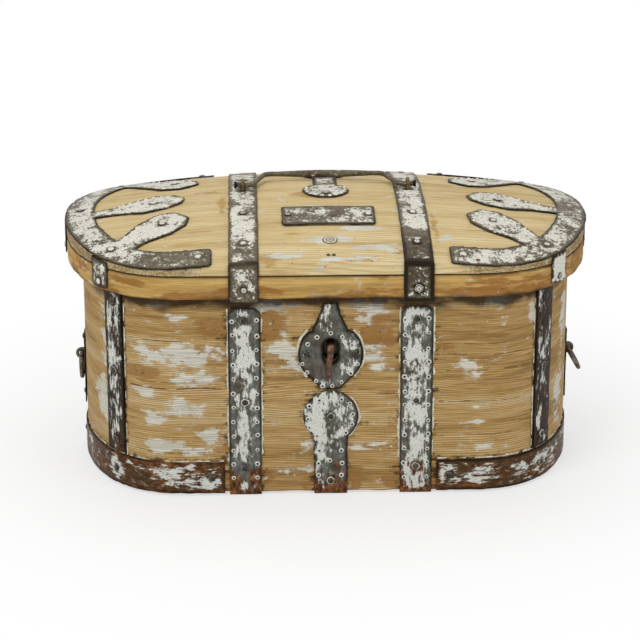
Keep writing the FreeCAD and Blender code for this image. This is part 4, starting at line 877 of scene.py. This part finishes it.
# Profiles from the middle out: radius and height in mm, and how bare of paint
NAIL_HEAD = [(0, 2.1, 0), (1.9, 2.0, 0), (3.5, 1.5, 0), (4.6, 0.5, 0), (4.9, -0.8, 0)]
PAINTED_HEAD = [(0, 2.1, 0.3), (1.9, 2.0, 0.15), (3.5, 1.5, 0.15), (4.6, 0.5, 0.45), (4.9, -0.8, 0.7)]
COLLAR = [(4.3, 0.2, 0.4), (4.9, 0.45, 0.22), (5.8, 0.35, 0.25), (6.7, -0.8, 0.45)]
DOT = [(0, 0.1, 1), (1.4, 0.1, 1), (2.0, 0.6, 0), (3.1, 0.5, 0), (4.1, -0.8, 0.1)]
LUMP = [(0, 1.3, 0), (1.5, 1.1, 0), (2.7, 0.4, 0.1), (3.4, -0.8, 0.2)]
SCREW = [(0, 0.5, 0), (2.6, 0.5, 0), (3.4, 0.1, 0), (3.5, -0.8, 0)]
SCAR = [(0, 0.1, 0.2), (4.6, 0.1, 0.05), (5.6, 0.2, 0.3), (7.4, 0.3, 0), (9.8, 0.25, 0.05), (11, 0.1, 0.5),
        (12, -0.6, 0.5)]
PLUG = [(0, 0.15, 1), (3.4, 0.15, 1), (4.0, -0.6, 1)]

heads = studs("nail_heads_box", box_nails, NAIL_HEAD, nail_rust, "box")
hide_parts("box_nails")
heads = studs("nail_heads_lid", lid_nails, PAINTED_HEAD, dotted_cream, "lid")
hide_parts("lid_nails")
studs("nail_collars_box", box_nails, COLLAR, dotted_chalk, "box", segments=14, wobble=0.25)
studs("nail_collars_lid", lid_nails[::3], COLLAR, dotted_cream, "lid", segments=14, wobble=0.25)

# Punched dots on the lock plate and the lock strap, from the middle of their rounds, in mm
LOCK_DOTS = [(0, 29), (-18, 23.5), (15, 23.5), (-30, 14), (27.5, 12.5), (-37, -13), (-31, -25), (-19, -37),
             (-11, -44), (2, -44), (14, -39), (26, -27), (35, -14)]
LOBE_DOTS = [(-28, 15), (-15, 23), (14, 24), (25, 18), (29, 3), (28, -11), (-28, -15), (-30, -3), (20, -23),
             (-18, -27), (-15, -48), (14, -48), (-16, -66), (15, -66), (-16, -83), (14, -83), (-1, -62)]
# Rows of dots down both edges of the front straps, in mm: off the middle line, lowest, spacing and number
DOT_ROW, DOT_FIRST, DOT_PITCH, DOT_COUNT = 15.5, 24, 20, 12
dots = []
for height, spots in ((LOCK_Z, LOCK_DOTS), (LOBE_Z, LOBE_DOTS)):
    for x, z in spots:
        dots.append((Vector((x * MM, -IRON_FRONT, height + z * MM)), FRONT))
for strap in (-STRAP_X, STRAP_X):
    for row in (-DOT_ROW, DOT_ROW):
        for step in range(DOT_COUNT):
            height = (DOT_FIRST + DOT_PITCH * step + random.uniform(-1.5, 1.5)) * MM
            sideways = (row + random.uniform(-0.7, 0.7)) * MM
            dots.append((Vector((strap + sideways, -IRON_FRONT, height)), FRONT))
studs("punched_dots", dots, DOT, dotted_chalk, "box", segments=12, wobble=0.1, spread=0.25)

# Leaf outlines on the lid, right half, in mm: each from the end band round its tip
LEAVES = [
    [(268, -112), (250, -86), (228, -63), (203, -58), (184, -78), (187, -102), (208, -124), (232, -137),
     (248, -150)],
    [(300, -12), (282, -8), (258, 8), (232, 21), (205, 17), (190, -3), (194, -22), (213, -38), (244, -47),
     (272, -41), (298, -39)],
    [(268, 116), (248, 86), (224, 59), (198, 52), (174, 74), (176, 100), (200, 123), (230, 137), (248, 150)],
]
# Lumps round the front of the centre plate: radius and how far back they go, in mm, and number all round
ROUND_LUMPS, LUMPS_BACK, LUMP_COUNT = 27, 14, 18
lumps = []
for side in (-1, 1):
    for corners in LEAVES:
        centre = sum((Vector(corner) for corner in corners), Vector((0, 0))) / len(corners)
        for first, last in zip(corners, corners[1:]):
            for share in (0.1, 0.6):
                spot = Vector(first).lerp(Vector(last), share).lerp(centre, random.uniform(0.16, 0.26))
                lumps.append((side * spot.x, spot.y))
for step in range(LUMP_COUNT):
    angle = math.tau * step / LUMP_COUNT
    spot = (ROUND_LUMPS * math.cos(angle), ROUND_LUMPS * math.sin(angle))
    if spot[1] < LUMPS_BACK:
        lumps.append(spot)
studs("paint_lumps", on_lid(lumps, IRON), LUMP, dotted_cream, "lid", segments=9, wobble=0.25,
      spread=0.35)

# Screws, the mark of an old handle and two plugged holes on the lid: x, y in mm
SCREWS = [(110, -178), (188, -201)]
OLD_HANDLE = [(0, -161)]
OLD_HOLES = [(-3.4, -196), (3.4, -196)]
studs("brass_screws", on_lid(SCREWS, IRON), SCREW, old_brass, "lid", segments=12, wobble=0.0)
studs("handle_scar", on_lid(OLD_HANDLE, 0.0), SCAR, scar, "lid", segments=20, wobble=0.08)
studs("plugged_holes", on_lid(OLD_HOLES, 0.0), PLUG, scar, "lid", segments=4, wobble=0.1)

# Blunt ridge up the neck of the lock plate: height, half width, rise of the ridge, in mm
NECK_ROWS = [(266.5, 8.5, 2.2), (264, 9, 3.0), (252, 13.5, 3.2), (240, 19, 2.8), (233, 22.5, 1.6),
             (227, 24, -0.9)]
NECK_SHARES = (1.0, 0.96, 0.5, 0.0, -0.5, -0.96, -1.0)
NECK_X = -MM
NECK_PROUD = 0.2
neck = bmesh.new()
neck_edge = neck.verts.layers.float.new("inset")
neck_paint_and_light = neck.verts.layers.float.new("paint")
verts = bmesh.ops.create_grid(neck, x_segments=len(NECK_SHARES) - 1, y_segments=len(NECK_ROWS) - 1,
                              size=1)["verts"]
spots = [(row, share) for row in NECK_ROWS for share in NECK_SHARES]
for vert, ((z, half, rise), share) in zip(verts, spots):
    flank = 1 - abs(share)
    depth = IRON_FRONT + (NECK_PROUD + rise * flank) * MM if flank else WALL_FRONT
    vert.co = (share * half * MM + NECK_X, -depth, z * MM)
    vert[neck_edge] = 1.6 * flank
    # Paint on the left flank and bare iron on the right flank of the ridge: a painted split of light and
    # shade
    vert[neck_paint_and_light] = 0.05 * clamped((z - 232) / 12) - 0.02 if share < -0.1 else -0.1
neck.faces.new(reversed(verts[:len(NECK_SHARES)]))
new_piece("lock_neck_ridge", as_mesh(neck, "lock_neck_ridge"), strap_iron, "box")


# Paint left along the irons, painted shade in the seam, dark growth lines

def ribbons(name, runs, finish, body, proud):
    """Low flat beads along runs of stations (point, across, outward, near edge, far edge)."""
    rooted = -0.8 * MM
    shape = bmesh.new()
    for run in runs:
        (start, across, out, *_), (following, *_) = run[:2]
        if across.cross(following - start).dot(out) < 0:
            run = run[::-1]
        verts = bmesh.ops.create_grid(shape, x_segments=3, y_segments=len(run) - 1, size=1)["verts"]
        for row, (point, across, out, near, far) in enumerate(run):
            slope = 0.15 * (far - near)
            section = [(near, rooted), (near + slope, proud), (far - slope, proud), (far, rooted)]
            for vert, (u, v) in zip(verts[4 * row:4 * row + 4], section):
                vert.co = point + across * u + out * v
    return new_piece(name, as_mesh(shape, name), finish, body)


def frayed(stations, width, seed, gaps=0.0):
    """Stations (point, across, outward) as the runs of one uneven line, broken where it fades out."""
    fray_mm = 13
    inward = -0.2
    least = 0.12
    runs = [[]]
    for point, across, out in stations:
        key = point * per_metre(fray_mm) + Vector((seed * 7.3, 0, 0))
        reach = width * (0.42 + 0.8 * noise.noise(key) + 0.6 * noise.noise(key * 2.7) - gaps)
        if reach > least * width:
            runs[-1].append((point, across, out, inward * reach, reach))
        elif runs[-1]:
            runs.append([])
    return [run for run in runs if len(run) > 2]


def round_side(height, radius, top, bottom, way):
    """Stations down one side of a round iron on the front, between two angles above the level, in degrees."""
    count = 60
    stations = []
    for step in range(count):
        angle = math.radians(top + (bottom - top) * step / (count - 1))
        across = Vector((way * math.cos(angle), 0, math.sin(angle)))
        stations.append((Vector((0, -WALL_FRONT, height)) + across * radius, across, FRONT))
    return stations


STEP = 2.5 * MM
paint_runs = []
heights = [BASE_BAND_TOP + STEP * index for index in range(round((STRAP_TOP - BASE_BAND_TOP) / STEP))]
for strap in (-STRAP_X, STRAP_X):
    for way in (-1, 1):
        x = strap + way * STRAP_HALF
        stations = [(Vector((x, -WALL_FRONT, z)), Vector((way, 0, 0)), FRONT) for z in heights]
        paint_runs += frayed(stations, 3.2 * MM, x / MM, -0.05)
for side in (-1, 1):
    for face in (-1, 1):
        for way in (-1, 1):
            turn = BAND_ANGLE + way * BAND_HALF / (CORNER_RADIUS + WALL_OFFSET)
            spot, out = outline(WALL_OFFSET, turn, side, face)
            across = Vector((-side * math.sin(turn), face * math.cos(turn), 0)) * way
            stations = [(spot + UP * z, across, out) for z in heights]
            paint_runs += frayed(stations, 2.8 * MM, side + 2 * face + 4 * way)
band_top = [(spot + UP * BASE_BAND_TOP, UP, out) for spot, out in round_oval(WALL_OFFSET, STEP)
            if abs(spot.x) > BASE_BAND_REACH]
for side in (-1, 1):
    stations = [station for station in band_top if station[0].x * side > 0]
    paint_runs += frayed(stations, 3.2 * MM, side, 0.1)
for way in (-1, 1):
    paint_runs += frayed(round_side(LOCK_Z, LOCK_RADIUS, 48, -46, way), 3.4 * MM, 31 + way, -0.1)
    paint_runs += frayed(round_side(LOBE_Z, LOBE_RADIUS, 50, -50, way), 2.8 * MM, 41 + way, 0.1 - 0.2 * way)
ribbons("paint_along_irons", paint_runs, chalk_line, "box", 0.12 * MM)

# The dark strip of painted shade in the seam is widest in the middle of the front, where the seam gapes most,
# over a stretch of about SEAM_STRETCH to each side
SEAM_STRETCH = 150 * MM
seam_run = []
for spot, out in round_oval(0.0, 4 * MM):
    gaping = 1.1 * math.exp(-(spot.x / SEAM_STRETCH) ** 2) if out.y < -0.9 else 0.2
    half = (0.45 + gaping * 0.6 + 0.35 * noise.noise(spot * per_metre(60))) * MM
    seam_run.append((spot + UP * SEAM, UP, out, -half, half))
seam_run.append(seam_run[0])
ribbons("painted_shade_in_seam", [seam_run], seam_shade, "lid", 0.06 * MM)

# Dark growth lines on the front of the wall: from x to x, height z and width, in mm
GROWTH_LINES = [(-262, -134, 150, 2.2), (-255, -150, 158, 1.2), (144, 262, 193, 1.6), (150, 272, 171, 2.0),
                (142, 250, 128, 1.4), (-240, -140, 60, 1.0), (-80, -50, 150, 1.2), (60, 88, 140, 1.2),
                (146, 230, 208, 1.1), (-262, -190, 215, 1.0), (150, 240, 82, 1.0)]
LINE_STEP = 3
LINE_SWAY = 2.5
line_runs = []
for first, last, z, width in GROWTH_LINES:
    stations = []
    count = round((last - first) / LINE_STEP)
    for index in range(count + 1):
        spot, out = wall_front((first + (last - first) * index / count) * MM)
        sway = LINE_SWAY * noise.noise(Vector((spot.x * per_metre(90), z, 0)))
        stations.append((spot + UP * (z + sway) * MM, UP, out))
    line_runs += frayed(stations, width * MM, z, 0.05)
ribbons("dark_growth_lines", line_runs, late_wood, "box", 0.1 * MM)


# Camera, floor and light

PHOTO = 640
FOCAL_PIXELS = 2379.6
SHIFT_PIXELS = -5.57
SENSOR = 36.0
AZIMUTH = math.radians(-2.05)
ELEVATION = math.radians(19.18)
DISTANCE = 3.277
TARGET = Vector((0, 0, 0.1775))
camera_data = bpy.data.cameras.new("camera")
camera_data.sensor_width = SENSOR
camera_data.lens = FOCAL_PIXELS * SENSOR / PHOTO
camera_data.shift_x = SHIFT_PIXELS / PHOTO
camera = bpy.data.objects.new("camera", camera_data)
scene.collection.objects.link(camera)
level = math.cos(ELEVATION)
back = Vector((math.sin(AZIMUTH) * level, -math.cos(AZIMUTH) * level, math.sin(ELEVATION)))
camera.location = TARGET + back * DISTANCE
camera.rotation_euler = back.to_track_quat("Z", "Y").to_euler()
scene.camera = camera

FLOOR_HALF = 12.0
FLOOR_DROP = 0.5 * MM
floor_shape = bmesh.new()
bmesh.ops.create_grid(floor_shape, x_segments=1, y_segments=1, size=FLOOR_HALF)
floor_mesh = as_mesh(floor_shape, "floor")
floor = bpy.data.objects.new("floor", floor_mesh)
floor.location.z = -FLOOR_DROP
scene.collection.objects.link(floor)

WHITE = (1, 1, 1, 1)


def in_sight(tree):
    """1 for what the camera sees straight or in a shine, 0 for light on the object."""
    direct = add(tree, "LightPath", out="Is Camera Ray")
    shine = add(tree, "LightPath", out="Is Glossy Ray")
    return add(tree, "Math", {0: direct, 1: shine}, operation="MAXIMUM")


# White paper: dull, with a soft shadow round the box, and as white as the backdrop further off
white_paper, tree, paper, place = new_finish("white_paper")
fill(tree, paper, {"Base Color": linear("F4F4F4"), "Roughness": 0.9})
glow = add(tree, "Emission", {"Color": WHITE, "Strength": 1.0})
away = add(tree, "VectorMath", {0: place}, out="Value", operation="LENGTH")
fade = add(tree, "MapRange", {"Value": away, "From Min": 0.3, "From Max": 0.75, "To Min": 0.6, "To Max": 1.0},
           interpolation_type="SMOOTHSTEP")
seen = add(tree, "Math", {0: in_sight(tree), 1: fade}, operation="MULTIPLY")
mixed = add(tree, "MixShader", {0: seen, 1: paper.outputs[0], 2: glow})
fill(tree, tree.nodes["Material Output"], {"Surface": mixed})
floor_mesh.materials.append(white_paper)

AMBIENT = 0.55
world = bpy.data.worlds.new("studio")
scene.world = world
world.use_nodes = True
tree = world.node_tree
ambient = tree.nodes["Background"]
fill(tree, ambient, {"Color": WHITE, "Strength": AMBIENT})
backdrop = add(tree, "Background", {"Color": WHITE, "Strength": 1.0})
mixed = add(tree, "MixShader", {0: in_sight(tree), 1: ambient.outputs[0], 2: backdrop})
fill(tree, tree.nodes["World Output"], {"Surface": mixed})

LAMP_AIM = Vector((0, 0, 0.2))


def softbox(name, place, width, height, watts):
    """A soft lamp that faces the middle of the box."""
    lamp_data = bpy.data.lights.new(name, "AREA")
    lamp_data.shape = "RECTANGLE"
    lamp_data.size = width
    lamp_data.size_y = height
    lamp_data.energy = watts
    lamp = bpy.data.objects.new(name, lamp_data)
    scene.collection.objects.link(lamp)
    lamp.location = place
    lamp.rotation_euler = (Vector(place) - LAMP_AIM).to_track_quat("Z", "Y").to_euler()


softbox("key", (-1.6, -2.2, 2.4), width=1.6, height=1.2, watts=42)
softbox("fill", (2.2, -1.8, 1.2), width=1.6, height=1.4, watts=14)
softbox("top", (0, 0.6, 2.6), width=2.0, height=1.4, watts=15)

scene.view_settings.view_transform = "Standard"
